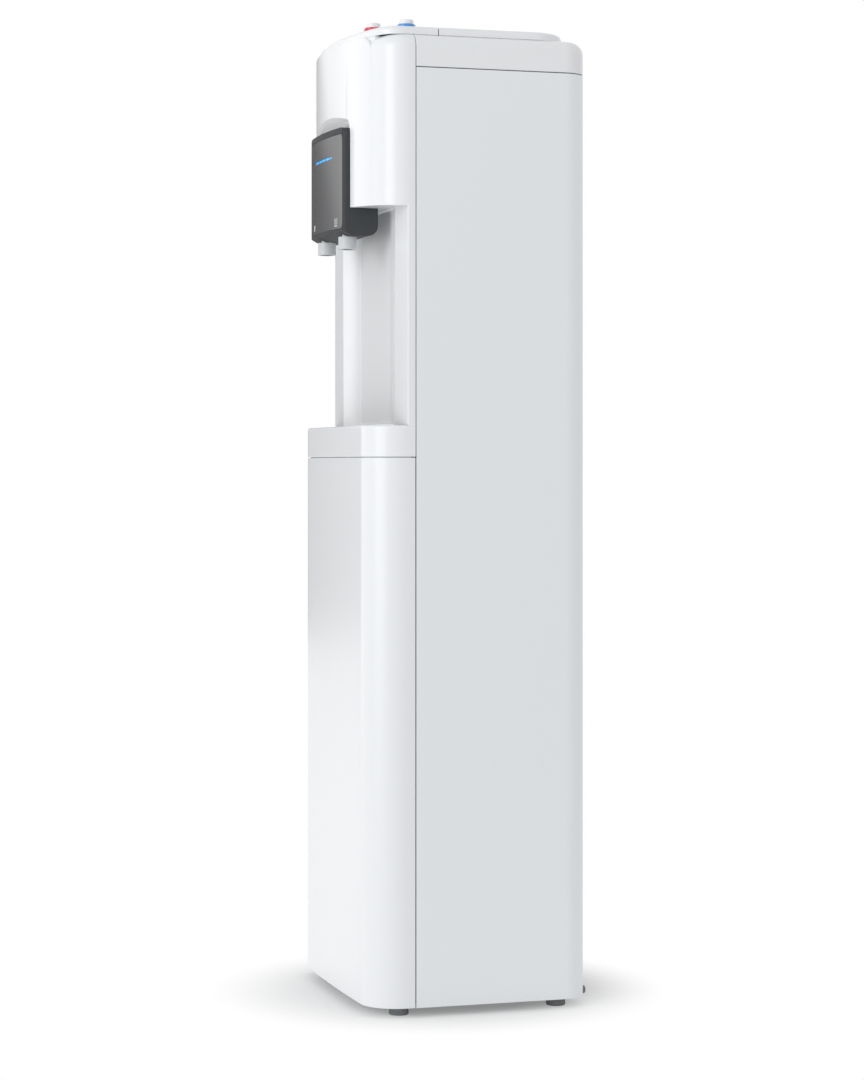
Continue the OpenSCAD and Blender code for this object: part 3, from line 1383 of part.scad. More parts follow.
module panel_screws() color(steel) for (s = [-1, 1], z = screw_zs)
    translate([s * screw_x, y_rear, z]) rotate([-90, 0, 0]) {
        rotate_extrude() polygon([[0, 0], [4, 0], [3.4, 1.4], [1.6, 2.1], [0, 2.1]]);
        translate([0, 0, -6]) cylinder(h = 6.1, r = screw_r);
    }

// Least gap of each coil to itself, in millimetres
echo(evaporator = turn_gap(evap_big_r, evap_r, evap_pitch),
     button_springs = turn_gap(spring_big_r, spring_wire_r, spring_pitch));

base_plate();
left_side_panel();
right_side_panel();
rear_panel();
top_cap();
bottle_collar();
button_deck();
front_fascia();
face_plate();
lower_front_panel();
feet();
rear_bumpers();
dispense_head();
head_lens();
led_bar();
display_board();
hot_nozzle();
cold_nozzle();
hot_valve();
cold_valve();
drip_tray();
drip_grille();
hot_button();
cold_button();
hot_button_ring();
cold_button_ring();
hot_button_spring();
cold_button_spring();
button_board();
bottle_seat();
bottle_probe();
seat_seal();
cold_tank();
cold_tank_lid();
cold_tank_foam();
evaporator();
cold_shelf();
hot_tank();
heater_band();
hot_tank_jacket();
hot_shelf();
compressor();
compressor_grommets();
terminal_cover();
condenser_tube();
condenser_wires();
condenser_straps();
filter_drier();
suction_line();
cold_hose();
hot_hose();
supply_hose();
drain_pipe();
drain_cap();
switch_frames();
hot_switch();
cold_switch();
power_inlet();
panel_screws();
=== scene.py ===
"""Top load water cooler: finishes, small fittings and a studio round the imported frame."""
import json
import math

import bmesh
import bpy
from mathutils import Matrix, Vector


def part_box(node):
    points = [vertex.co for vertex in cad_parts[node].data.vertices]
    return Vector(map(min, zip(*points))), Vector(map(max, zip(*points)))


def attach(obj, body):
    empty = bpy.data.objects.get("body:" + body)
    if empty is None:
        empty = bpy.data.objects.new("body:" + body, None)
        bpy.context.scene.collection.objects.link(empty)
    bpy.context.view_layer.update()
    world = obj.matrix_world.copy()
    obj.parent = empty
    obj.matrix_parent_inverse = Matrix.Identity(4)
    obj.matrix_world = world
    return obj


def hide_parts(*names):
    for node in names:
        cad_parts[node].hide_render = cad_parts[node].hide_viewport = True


bl_info = {
    "name": "Top Load Water Cooler",
    "version": (1, 0, 0),
    "blender": (4, 5, 0),
    "location": "View3D > Sidebar > Cooler",
    "description": "Finishes, small fittings and a studio for a top load water cooler",
    "category": "Object",
}

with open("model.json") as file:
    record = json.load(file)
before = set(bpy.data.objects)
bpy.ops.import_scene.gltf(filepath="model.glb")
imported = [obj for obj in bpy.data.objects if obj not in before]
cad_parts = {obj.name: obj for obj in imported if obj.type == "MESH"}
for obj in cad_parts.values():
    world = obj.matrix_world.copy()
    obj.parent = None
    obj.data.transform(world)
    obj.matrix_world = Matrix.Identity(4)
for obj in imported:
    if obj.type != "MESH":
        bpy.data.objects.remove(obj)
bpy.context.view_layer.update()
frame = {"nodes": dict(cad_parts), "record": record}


# Sizes and colours that a user would change

def colour_value(name, description, default):
    return bpy.props.FloatVectorProperty(
        name=name, description=description, default=default, subtype="COLOR", size=3, min=0, max=1)


def length_value(name, description, default, top=1.0):
    return bpy.props.FloatProperty(name=name, description=description, default=default, min=0,
                                   max=top, unit="LENGTH", precision=5)


def power_value(name, description, default):
    return bpy.props.FloatProperty(name=name, description=description, default=default, min=0,
                                   unit="POWER")


class CoolerColours(bpy.types.PropertyGroup):
    """Colours of the cooler's finishes."""
    moulding: colour_value("Moulding", "White moulded shells", (0.800, 0.825, 0.850))
    sheet: colour_value("Side sheet", "Powder coated side and rear sheet", (0.765, 0.795, 0.825))
    housing: colour_value("Housing", "Black moulding of the dispensing head", (0.003, 0.003, 0.0035))
    lens: colour_value("Lens", "Gloss face of the dispensing head", (0.014, 0.014, 0.015))
    nozzle: colour_value("Nozzles", "Pale grey outlets", (0.520, 0.535, 0.550))
    tray: colour_value("Drip tray", "Grey drip tray and grille", (0.300, 0.310, 0.325))
    hot: colour_value("Hot ring", "Ring round the hot button", (0.560, 0.020, 0.020))
    cold: colour_value("Cold ring", "Ring round the cold button", (0.015, 0.120, 0.560))
    light: colour_value("Light", "Status light in the lens", (0.035, 0.380, 1.000))
    foot: colour_value("Feet", "Dark rubber feet and bumpers", (0.055, 0.056, 0.060))


class CoolerDetails(bpy.types.PropertyGroup):
    """Sizes of the small shapes that the scene adds."""
    edge: length_value("Shell edge", "Rounding of the mouldings' outer edges", 0.0007, 0.002)
    ledge_edge: length_value("Ledge edge", "Rounding along the top of the cup ledge", 0.0025, 0.004)
    dash_length: length_value("Dash length", "Length of one dash of the light", 0.0092, 0.014)
    dash_height: length_value("Dash height", "Height of one dash of the light", 0.0019, 0.003)
    dash_pitch: length_value("Dash pitch", "Distance from dash to dash", 0.0140, 0.02)
    dash_count: bpy.props.IntProperty(
        name="Dashes", description="Dashes that are lit", default=5, min=1, max=5)
    icon_size: length_value("Icon size", "Height of the two icons on the lens", 0.0075, 0.012)
    stroke: length_value("Icon stroke", "Line width of the icons", 0.0009, 0.002)
    face_radius: length_value("Face radius", "Radius of the head's bowed face", 0.5085, 2.0)


class CoolerStudio(bpy.types.PropertyGroup):
    """Camera, lamps and floor."""
    camera_place: bpy.props.FloatVectorProperty(
        name="Camera place", description="Where the camera stands",
        default=(2.89698, -0.89527, 0.58021), size=3, subtype="TRANSLATION", unit="LENGTH")
    camera_turn: bpy.props.FloatProperty(
        name="Camera turn", description="Angle of the view from straight at the side",
        default=math.radians(17.071), subtype="ANGLE")
    camera_lens: bpy.props.FloatProperty(
        name="Lens", description="Focal length in millimetres", default=91.48, min=10)
    camera_rise: bpy.props.FloatProperty(
        name="Rise", description="Vertical shift of the lens", default=-0.07094)
    sky: bpy.props.FloatProperty(
        name="Sky", description="Level of the light from all round", default=0.67, min=0)
    key_power: power_value("Front lamp", "Power of the large lamp before the cooler", 5.0)
    side_power: power_value("Side lamp", "Power of the large lamp beside the cooler", 68.0)
    strip_power: power_value("Strip lamp", "Power of the tall narrow lamp", 6.0)
    floor_reach: length_value("Floor", "Half width of the floor", 9.0, 40.0)


# Selecting and finishing meshes

def only(obj):
    """Makes the object the only selected and active one."""
    bpy.ops.object.select_all(action="DESELECT")
    obj.select_set(True)
    bpy.context.view_layer.objects.active = obj


def edit(obj, mode="EDGE"):
    """Opens the object's mesh in edit mode with nothing selected."""
    only(obj)
    bpy.ops.object.mode_set(mode="EDIT")
    bpy.ops.mesh.select_mode(type=mode)
    bpy.ops.mesh.select_all(action="DESELECT")
    return bmesh.from_edit_mesh(obj.data)


def leave():
    bpy.ops.object.mode_set(mode="OBJECT")


def select_edges(obj, wanted):
    bm = edit(obj)
    count = 0
    for e in bm.edges:
        if wanted(e):
            e.select = True
            count += 1
    bmesh.update_edit_mesh(obj.data)
    return count


def select_faces(obj, wanted):
    bm = edit(obj, "FACE")
    for f in bm.faces:
        f.select = bool(wanted(f))
    bmesh.update_edit_mesh(obj.data)


def settle(obj):
    """Puts the object at the origin with its place in its mesh."""
    only(obj)
    bpy.ops.object.transform_apply(location=True, rotation=True, scale=True)


def smooth(obj, angle=32):
    """Shades smooth up to an angle in degrees, with normals weighted by the faces' areas."""
    only(obj)
    bpy.ops.object.shade_smooth_by_angle(angle=math.radians(angle))
    weigh = obj.modifiers.new("even_normals", "WEIGHTED_NORMAL")
    weigh.keep_sharp = True
    bpy.ops.object.modifier_apply(modifier=weigh.name)


def rename(obj, name):
    obj.name = name
    obj.data.name = name
    return obj


def join(pieces, name):
    bpy.ops.object.select_all(action="DESELECT")
    for p in pieces:
        p.select_set(True)
    bpy.context.view_layer.objects.active = pieces[0]
    if len(pieces) > 1:
        bpy.ops.object.join()
    return rename(bpy.context.view_layer.objects.active, name)


def dress(obj, body, slot, material=None):
    """Gives the piece its finish, by default the one that the slot names, and the body that it rides
    on.
    """
    obj.data.materials.clear()
    obj.data.materials.append(material or bpy.data.materials[slot])
    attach(obj, body)


# Shader nodes

def new_material(name):
    material = bpy.data.materials.new(name)
    material.use_nodes = True
    return material, material.node_tree


def new_group(name, inputs, outputs):
    group = bpy.data.node_groups.new(name, "ShaderNodeTree")
    for label, kind, default in inputs:
        group.interface.new_socket(label, in_out="INPUT", socket_type=kind).default_value = default
    for label, kind in outputs:
        group.interface.new_socket(label, in_out="OUTPUT", socket_type=kind)
    return group, group.nodes.new("NodeGroupInput"), group.nodes.new("NodeGroupOutput")


def math_node(tree, operation, a, b=0.0, clamp=False):
    n = tree.nodes.new("ShaderNodeMath")
    n.operation = operation
    n.use_clamp = clamp
    for socket, value in zip(n.inputs, (a, b)):
        if isinstance(value, (int, float)):
            socket.default_value = value
        else:
            tree.links.new(value, socket)
    return n.outputs[0]


def noise(tree, scale, detail=2.0, vector=None, roughness=0.5):
    n = tree.nodes.new("ShaderNodeTexNoise")
    n.inputs["Detail"].default_value = detail
    n.inputs["Roughness"].default_value = roughness
    if isinstance(scale, (int, float)):
        n.inputs["Scale"].default_value = scale
    else:
        tree.links.new(scale, n.inputs["Scale"])
    if vector is None:
        vector = tree.nodes.new("ShaderNodeTexCoord").outputs["Object"]
    tree.links.new(vector, n.inputs["Vector"])
    return n.outputs["Fac"]


def spread(tree, value, low, high, to_low=0.0, to_high=1.0):
    """Maps the stretch from low to high onto another one, with soft ends."""
    n = tree.nodes.new("ShaderNodeMapRange")
    n.interpolation_type = "SMOOTHSTEP"
    limits = {"From Min": low, "From Max": high, "To Min": to_low, "To Max": to_high}
    for label, limit in limits.items():
        n.inputs[label].default_value = limit
    tree.links.new(value, n.inputs["Value"])
    return n.outputs["Result"]


def toned_colour(tree, colour, tone):
    """The colour times a tone that varies over the surface."""
    n = tree.nodes.new("ShaderNodeVectorMath")
    n.operation = "SCALE"
    n.inputs[0].default_value = colour
    tree.links.new(tone, n.inputs["Scale"])
    return n.outputs[0]


def seen_straight(tree):
    """1 for the camera, gloss and clear pieces, and 0 for the light that is sent on."""
    path = tree.nodes.new("ShaderNodeLightPath")
    seen = math_node(tree, "ADD", path.outputs["Is Camera Ray"], path.outputs["Is Glossy Ray"], True)
    return math_node(tree, "ADD", seen, path.outputs["Is Transmission Ray"], True)


def mixed_shader(tree, share, first, second):
    n = tree.nodes.new("ShaderNodeMixShader")
    for socket, value in zip(n.inputs, (share, first, second)):
        tree.links.new(value, socket)
    return n.outputs[0]


def mould_grain_group():
    """Fine spark-eroded texture of a moulding: its height and the gloss that it takes away."""
    group, given, out = new_group(
        "mould_grain", [("Scale", "NodeSocketFloat", 900.0)],
        [("Height", "NodeSocketFloat"), ("Haze", "NodeSocketFloat")])
    fine = noise(group, given.outputs["Scale"], 3.0, roughness=0.6)
    wide_share = 0.013
    wide = noise(group, math_node(group, "MULTIPLY", given.outputs["Scale"], wide_share), 2.0)
    group.links.new(fine, out.inputs["Height"])
    group.links.new(spread(group, wide, 0.3, 0.7, -0.5, 0.5), out.inputs["Haze"])


def batch_tone_group():
    """Slow drift of a moulding's or a coating's tone."""
    group, given, out = new_group(
        "batch_tone", [("Amount", "NodeSocketFloat", 0.04), ("Scale", "NodeSocketFloat", 5.0)],
        [("Tone", "NodeSocketFloat")])
    drift = math_node(group, "SUBTRACT", noise(group, given.outputs["Scale"], 3.0), 0.5)
    group.links.new(
        math_node(group, "ADD", math_node(group, "MULTIPLY", drift, given.outputs["Amount"]), 1.0),
        out.inputs["Tone"])


def settled_dust_group():
    """Mask of the dust that lies on level faces, broken up by a noise."""
    group, given, out = new_group(
        "settled_dust", [("Amount", "NodeSocketFloat", 0.2)], [("Mask", "NodeSocketFloat")])
    facing = group.nodes.new("ShaderNodeNewGeometry")
    axes = group.nodes.new("ShaderNodeSeparateXYZ")
    group.links.new(facing.outputs["Normal"], axes.inputs[0])
    level = spread(group, axes.outputs["Z"], 0.6, 1.0)
    patchy = spread(group, noise(group, 34.0, 5.0, roughness=0.65), 0.35, 0.75)
    lying = math_node(group, "MULTIPLY", level, patchy)
    group.links.new(math_node(group, "MULTIPLY", lying, given.outputs["Amount"]), out.inputs["Mask"])


def drawn_lines_group():
    """Fine lines left on drawn or brushed metal, along one axis."""
    group, given, out = new_group(
        "drawn_lines",
        [("Along", "NodeSocketVector", (1.0, 1.0, 0.03)), ("Scale", "NodeSocketFloat", 700.0)],
        [("Height", "NodeSocketFloat"), ("Tone", "NodeSocketFloat")])
    place = group.nodes.new("ShaderNodeTexCoord")
    stretched = group.nodes.new("ShaderNodeVectorMath")
    stretched.operation = "MULTIPLY"
    group.links.new(place.outputs["Object"], stretched.inputs[0])
    group.links.new(given.outputs["Along"], stretched.inputs[1])
    lines = noise(group, given.outputs["Scale"], 4.0, stretched.outputs[0], 0.7)
    group.links.new(lines, out.inputs["Height"])
    group.links.new(spread(group, lines, 0.3, 0.7, 0.88, 1.06), out.inputs["Tone"])


def orange_peel_group():
    """Shallow waves of a sprayed or powder coated surface."""
    group, given, out = new_group(
        "orange_peel", [("Scale", "NodeSocketFloat", 240.0)], [("Height", "NodeSocketFloat")])
    waves = noise(group, given.outputs["Scale"], 1.0, roughness=0.4)
    group.links.new(spread(group, waves, 0.35, 0.65), out.inputs["Height"])


def use_group(tree, name, **values):
    n = tree.nodes.new("ShaderNodeGroup")
    n.node_tree = bpy.data.node_groups[name]
    for label, value in values.items():
        n.inputs[label].default_value = value
    return n


DUST_COLOUR = (0.42, 0.41, 0.39, 1.0)
BUMP_HEIGHT = 0.0002


def make_finish(name, colour, roughness, grain=900.0, depth=0.12, tone=0.04, haze=0.08, dust=0.10,
                lines=None, peel=None, **shader):
    """A material of base colour, tone drift, grain or lines, haze and settled dust."""
    tree = new_material(name)[1]
    surface = tree.nodes["Principled BSDF"]
    for label, value in shader.items():
        surface.inputs[label.replace("_", " ").title().replace("Ior", "IOR")].default_value = value
    grained = use_group(tree, "mould_grain", Scale=grain)
    drift = use_group(tree, "batch_tone", Amount=tone)
    height, shade = grained.outputs["Height"], drift.outputs["Tone"]
    if lines:
        drawn = use_group(tree, "drawn_lines", Along=lines)
        height = drawn.outputs["Height"]
        shade = math_node(tree, "MULTIPLY", shade, drawn.outputs["Tone"])
    if peel:
        height = use_group(tree, "orange_peel", Scale=peel).outputs["Height"]
    dusted = tree.nodes.new("ShaderNodeMix")
    dusted.data_type = "RGBA"
    dusted.inputs["B"].default_value = DUST_COLOUR
    dust_mask = use_group(tree, "settled_dust", Amount=dust).outputs["Mask"]
    tree.links.new(dust_mask, dusted.inputs["Factor"])
    tree.links.new(toned_colour(tree, colour, shade), dusted.inputs["A"])
    tree.links.new(dusted.outputs["Result"], surface.inputs["Base Color"])
    hazed = math_node(tree, "MULTIPLY", grained.outputs["Haze"], haze)
    tree.links.new(math_node(tree, "ADD", hazed, roughness, True), surface.inputs["Roughness"])
    bump = tree.nodes.new("ShaderNodeBump")
    bump.inputs["Strength"].default_value = depth
    bump.inputs["Distance"].default_value = BUMP_HEIGHT
    tree.links.new(height, bump.inputs["Height"])
    tree.links.new(bump.outputs["Normal"], surface.inputs["Normal"])


def make_light(name, colour, strength):
    """Lit end of a light pipe, its glow varied by a noise."""
    tree = new_material(name)[1]
    surface = tree.nodes["Principled BSDF"]
    surface.inputs["Roughness"].default_value = 0.25
    surface.inputs["Emission Strength"].default_value = strength
    glow = toned_colour(tree, colour, spread(tree, noise(tree, 160.0, 1.0), 0.3, 0.7, 0.75, 1.1))
    tree.links.new(glow, surface.inputs["Base Color"])
    tree.links.new(glow, surface.inputs["Emission Color"])


class COOLER_OT_make_finishes(bpy.types.Operator):
    """Make every finish and put it on the frame's own nodes"""
    bl_idname = "cooler.make_finishes"
    bl_label = "Make finishes"

    def execute(self, context):
        c = context.scene.cooler_colours
        for make_group in (mould_grain_group, batch_tone_group, settled_dust_group,
                           drawn_lines_group, orange_peel_group):
            make_group()
        make_finish("white_moulding", c.moulding, 0.30, depth=0.05, tone=0.02, dust=0.05)
        make_finish("sheet_white", c.sheet, 0.34, peel=260.0, depth=0.10, tone=0.015, dust=0.05)
        make_finish("black_housing", c.housing, 0.40, grain=1400.0, depth=0.2, tone=0.2,
                    dust=0.01, specular_ior_level=0.10)
        make_finish("head_gloss", c.lens, 0.012, depth=0.0, haze=0.004, tone=0.2, dust=0.0,
                    specular_ior_level=0.34)
        make_finish("led_blue", (0.010, 0.030, 0.080), 0.25, depth=0.0, tone=0.2, dust=0.0)
        make_finish("circuit_board", (0.020, 0.130, 0.060), 0.45, grain=400.0, tone=0.3)
        make_finish("nozzle_grey", c.nozzle, 0.32, depth=0.06, tone=0.04, dust=0.0)
        make_finish("tray_grey", c.tray, 0.36, grain=1100.0, depth=0.15, tone=0.06, dust=0.12)
        make_finish("foot_grey", c.foot, 0.62, grain=500.0, depth=0.35, tone=0.25, dust=0.25)
        make_finish("button_white", c.moulding, 0.26, depth=0.04, tone=0.02, dust=0.04)
        make_finish("ring_red", c.hot, 0.30, depth=0.05, tone=0.08, dust=0.03)
        make_finish("ring_blue", c.cold, 0.30, depth=0.05, tone=0.08, dust=0.03)
        make_finish("spring_steel", (0.55, 0.55, 0.56), 0.28, metallic=1.0,
                    lines=(1.0, 1.0, 0.1), dust=0.0)
        make_finish("seat_plastic", (0.76, 0.78, 0.80), 0.36, depth=0.08, tone=0.03, dust=0.10)
        make_finish("seal_black", (0.022, 0.022, 0.023), 0.60, grain=600.0, depth=0.3, tone=0.2)
        # Near-black finish of the seam strips: painted shade, not the colour of a real part
        make_finish("seam_foam", (0.030, 0.030, 0.032), 0.80, depth=0.3, tone=0.2, dust=0.0)
        make_finish("stainless", (0.60, 0.60, 0.61), 0.26, metallic=1.0, lines=(0.05, 0.05, 1.0),
                    depth=0.2)
        make_finish("galvanised", (0.56, 0.58, 0.60), 0.40, metallic=1.0, grain=60.0, depth=0.1,
                    tone=0.22, haze=0.25, dust=0.2)
        make_finish("foam_cream", (0.70, 0.64, 0.48), 0.85, grain=260.0, depth=0.9, tone=0.15)
        make_finish("copper_tube", (0.72, 0.33, 0.18), 0.30, metallic=1.0, grain=90.0, tone=0.35,
                    haze=0.3, dust=0.15)
        make_finish("band_grey", (0.22, 0.22, 0.23), 0.45, metallic=0.8, lines=(1.0, 1.0, 0.05),
                    depth=0.2)
        make_finish("compressor_black", (0.014, 0.014, 0.015), 0.34, peel=180.0, depth=0.25,
                    tone=0.25, dust=0.35)
        make_finish("condenser_black", (0.016, 0.016, 0.017), 0.42, peel=500.0, depth=0.2,
                    tone=0.25, dust=0.30)
        make_finish("hose_clear", (0.66, 0.68, 0.69), 0.22, depth=0.05, tone=0.05, dust=0.05,
                    transmission_weight=0.35)
        make_finish("switch_black", (0.018, 0.018, 0.019), 0.38, grain=1300.0, depth=0.2, tone=0.2)
        make_finish("rocker_red", (0.52, 0.018, 0.014), 0.28, depth=0.05, tone=0.08)
        make_finish("rocker_green", (0.012, 0.30, 0.060), 0.28, depth=0.05, tone=0.08)
        make_finish("screw_steel", (0.58, 0.58, 0.59), 0.32, metallic=1.0, grain=300.0, tone=0.2,
                    haze=0.2)
        make_finish("icon_white", (0.78, 0.79, 0.80), 0.40, depth=0.0, tone=0.05, dust=0.0)
        make_light("lit_dash", c.light, 1.0)
        make_light("lit_line", (0.012, 0.090, 0.330), 0.55)
        for row in frame["record"]["subparts"]:
            mesh = frame["nodes"][row["node"]].data
            mesh.materials.clear()
            mesh.materials.append(bpy.data.materials[row["material_slot"]])
        return {"FINISHED"}


# Shells

MERGE_REACH = 0.00001
FLAT_ANGLE = math.radians(0.3)
THIN_EDGE = 0.0003


def slot_of(node):
    return next(r["material_slot"] for r in frame["record"]["subparts"] if r["node"] == node)


def copy_of(node, name):
    """A merged copy of a CAD node's mesh, with its flat faces made whole again."""
    mesh = frame["nodes"][node].data.copy()
    piece = bpy.data.objects.new(name, mesh)
    mesh.name = name
    bpy.context.scene.collection.objects.link(piece)
    edit(piece)
    bpy.ops.mesh.customdata_custom_splitnormals_clear()
    bpy.ops.mesh.select_all(action="SELECT")
    bpy.ops.mesh.remove_doubles(threshold=MERGE_REACH)
    bpy.ops.mesh.dissolve_limited(angle_limit=FLAT_ANGLE)
    leave()
    return piece


def round_edges(piece, width, segments, wanted=lambda a, b: True, least=math.radians(38)):
    """Rounds the sharp outer edges that wanted picks by their two ends."""
    def sharp(e):
        if len(e.link_faces) != 2 or not e.is_convex:
            return False
        return e.calc_face_angle(0) > least and wanted(e.verts[0].co, e.verts[1].co)
    if select_edges(piece, sharp):
        bpy.ops.mesh.bevel(offset=width, segments=segments, profile=0.5, affect="EDGES",
                           clamp_overlap=False)
    leave()


class COOLER_OT_round_shells(bpy.types.Operator):
    """Give the white shells and the head the rounded edges of real mouldings"""
    bl_idname = "cooler.round_shells"
    bl_label = "Round the shells"

    def execute(self, context):
        d = context.scene.cooler_details
        tray_low, tray_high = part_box("drip_tray")
        beside_tray, before_tray = tray_high.x + 0.003, tray_low.y - 0.001
        ledge_top, level_reach = 0.620, 0.0001
        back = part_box("front_fascia")[1].y - THIN_EDGE

        def on_ledge(a, b):
            """Along the outline of the ledge's top, and not round the tray's pocket."""
            level = all(abs(v.z - ledge_top) < level_reach for v in (a, b))
            outside = all(abs(v.x) > beside_tray or v.y < before_tray for v in (a, b))
            return level and outside

        def elsewhere(a, b):
            return not on_ledge(a, b) and min(a.y, b.y) < back

        for node in ("front_fascia", "face_plate", "lower_front_panel", "top_cap", "button_deck",
                     "bottle_collar", "dispense_head", "head_lens", "left_side_panel",
                     "right_side_panel"):
            piece = copy_of(node, node + "_shell")
            if node == "front_fascia":
                round_edges(piece, d.ledge_edge, 5, on_ledge)
                round_edges(piece, d.edge, 3, elsewhere)
            elif node == "head_lens" or node.endswith("side_panel"):
                round_edges(piece, THIN_EDGE, 2)
            else:
                round_edges(piece, d.edge, 3)
            smooth(piece)
            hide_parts(node)
            dress(piece, "cabinet", slot_of(node))
        return {"FINISHED"}


# Dark strips in the seams: painted shade for the shadow in the gaps

def slice_of(node, name, z0, z1, rise, inset):
    """The band of a CAD node between two heights, moved up and drawn in to lie inside a seam."""
    band = copy_of(node, name)
    for z, above in ((z0, False), (z1, True)):
        edit(band)
        bpy.ops.mesh.select_all(action="SELECT")
        bpy.ops.mesh.bisect(plane_co=(0, 0, z), plane_no=(0, 0, 1), use_fill=True,
                            clear_inner=not above, clear_outer=above)
        leave()
    low, high = [Vector(end(v.co[i] for v in band.data.vertices) for i in range(3))
                 for end in (min, max)]
    middle, half = (low + high) / 2, (high - low) / 2
    drawn_in = Matrix.Diagonal(((half.x - inset) / half.x, (half.y - inset) / half.y, 1, 1))
    band.matrix_world = (Matrix.Translation(middle + Vector((0, 0, rise))) @ drawn_in
                         @ Matrix.Translation(-middle))
    settle(band)
    return band


class COOLER_OT_fill_seams(bpy.types.Operator):
    """Lay dark strips in the seams between shells and sheet metal, as painted shade for the gaps'
    shadow
    """
    bl_idname = "cooler.fill_seams"
    bl_label = "Shade seams"

    def execute(self, context):
        inset, thin, lift = 0.0009, 0.0008, 0.00002
        fascia_z, cap_z = 0.600, 1.000
        side_low, side_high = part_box("left_side_panel")
        panel_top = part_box("lower_front_panel")[1].z
        across = slice_of("front_fascia", "panel_seam_strip", fascia_z, fascia_z + thin,
                          panel_top - fascia_z + lift, inset)
        round_cap = slice_of("top_cap", "cap_seam_strip", cap_z, cap_z + thin,
                             side_high.z - cap_z + lift, inset)
        wide, foot, top = 2 * thin, 0.015, 1.018
        before_sheet, soft_edge = 0.00005, 0.0002
        uprights = []
        for side in (-1, 1):
            bpy.ops.mesh.primitive_cube_add(size=1)
            bar = context.active_object
            bar.scale = (wide, thin, top - foot)
            bar.location = (side * (abs(side_low.x) - inset - wide / 2),
                            side_low.y - before_sheet - thin / 2, (foot + top) / 2)
            settle(bar)
            select_edges(bar, lambda e: abs(e.verts[0].co.z - e.verts[1].co.z) > wide)
            bpy.ops.mesh.bevel(offset=soft_edge, segments=2, affect="EDGES")
            leave()
            uprights.append(bar)
        # The strips are painted shade: dark pieces set where the seams hold only shadow
        strips = join([across, round_cap, *uprights], "seam_strips")
        smooth(strips)
        dress(strips, "cabinet", "seal_black", bpy.data.materials["seam_foam"])
        return {"FINISHED"}


# Marks on the head's lens

def on_face(x, inset):
    """Y of the head's bowed face at x, moved in by inset, and its turn there."""
    radius = bpy.context.scene.cooler_details.face_radius
    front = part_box("head_lens")[0].y
    reach = radius - inset
    return front + radius - math.sqrt(reach * reach - x * x), math.asin(x / reach)


ROUND_SHARE = 0.49


def bar_on_face(x, z, length, height, thick, proud, turn=0.0, segments=3):
    """A bar with round ends on the lens, turned in its plane and standing proud of it."""
    def upright(e):
        return abs(e.verts[0].co.y - e.verts[1].co.y) > thick / 2

    y, face_turn = on_face(x, -proud + thick / 2)
    bpy.ops.mesh.primitive_cube_add(size=1)
    bar = bpy.context.active_object
    bar.scale = (length, thick, height)
    settle(bar)
    select_edges(bar, upright)
    bpy.ops.mesh.bevel(offset=height * ROUND_SHARE, segments=segments, affect="EDGES")
    leave()
    bar.matrix_world = (Matrix.Translation((x, y, z)) @ Matrix.Rotation(face_turn, 4, "Z")
                        @ Matrix.Rotation(turn, 4, "Y"))
    settle(bar)
    return bar


class COOLER_OT_place_dashes(bpy.types.Operator):
    """Place the lit dashes of the status light in the lens's slot"""
    bl_idname = "cooler.place_dashes"
    bl_label = "Place status light"

    def execute(self, context):
        d = context.scene.cooler_details
        low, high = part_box("led_bar")
        middle = (low.z + high.z) / 2
        first_x = 0.0180
        dash_thick, dash_proud = 0.0002, -0.00005
        link_thick, link_proud = 0.00015, -0.0001
        dashes, links = [], []
        for i in range(d.dash_count):
            dashes.append(bar_on_face(first_x - i * d.dash_pitch, middle, d.dash_length,
                                      d.dash_height, dash_thick, dash_proud, segments=4))
            links.append(bar_on_face(first_x - (i + 0.5) * d.dash_pitch, middle,
                                     d.dash_pitch - d.dash_length, d.dash_height / 2,
                                     link_thick, link_proud))
        for bars, name, glow in ((dashes, "status_dashes", "lit_dash"),
                                 (links, "status_line", "lit_line")):
            lit = join(bars, name)
            smooth(lit)
            dress(lit, "cabinet", "led_blue", bpy.data.materials[glow])
        return {"FINISHED"}


ICON_THICK, ICON_PROUD = 0.00016, 0.00008


def icon_stroke(x, z, length, turn):
    stroke = bpy.context.scene.cooler_details.stroke
    return bar_on_face(x, z, length, stroke, ICON_THICK, ICON_PROUD, turn, 2)


def snowflake(x, z, size):
    """Three crossed arms, each with a pair of twigs near both of its ends."""
    twig_place, twig_reach, twig_length, twig_angle = 0.33, 0.11, 0.24, math.radians(50)
    strokes = []
    for k in range(3):
        turn = math.radians(30 + 60 * k)
        strokes.append(icon_stroke(x, z, size, turn))
        for side in (-1, 1):
            along = side * size * twig_place
            fork_x, fork_z = x + along * math.cos(turn), z - along * math.sin(turn)
            for tilt in (-1, 1):
                lean = turn + tilt * twig_angle
                reach = side * size * twig_reach
                strokes.append(icon_stroke(fork_x + reach * math.cos(lean),
                                           fork_z - reach * math.sin(lean),
                                           size * twig_length, lean))
    return strokes


def steam(x, z, size):
    """Three zigzag plumes over a plain bar."""
    plume_pitch, zig_pitch, zig_length, lean = 0.45, 0.22, 0.30, 28
    bar_drop, bar_length = 0.62, 1.2
    strokes = []
    for i in (-1, 0, 1):
        for k in range(4):
            turn = math.radians(90 + (lean if k % 2 else -lean))
            strokes.append(icon_stroke(x + i * size * plume_pitch, z + (k - 1.5) * size * zig_pitch,
                                       size * zig_length, turn))
    strokes.append(icon_stroke(x, z - size * bar_drop, size * bar_length, turn=0.0))
    return strokes


class COOLER_OT_place_icons(bpy.types.Operator):
    """Place a snowflake and a steam icon on the lens"""
    bl_idname = "cooler.place_icons"
    bl_label = "Place icons"

    def execute(self, context):
        size = context.scene.cooler_details.icon_size
        for draw_icon, name, x, z in ((snowflake, "cold_icon", -0.0409, 0.8394),
                                      (steam, "hot_icon", 0.0468, 0.8400)):
            icon = join(draw_icon(x, z, size), name)
            dress(icon, "cabinet", "button_white", bpy.data.materials["icon_white"])
        return {"FINISHED"}


# Outlet inserts of the nozzles

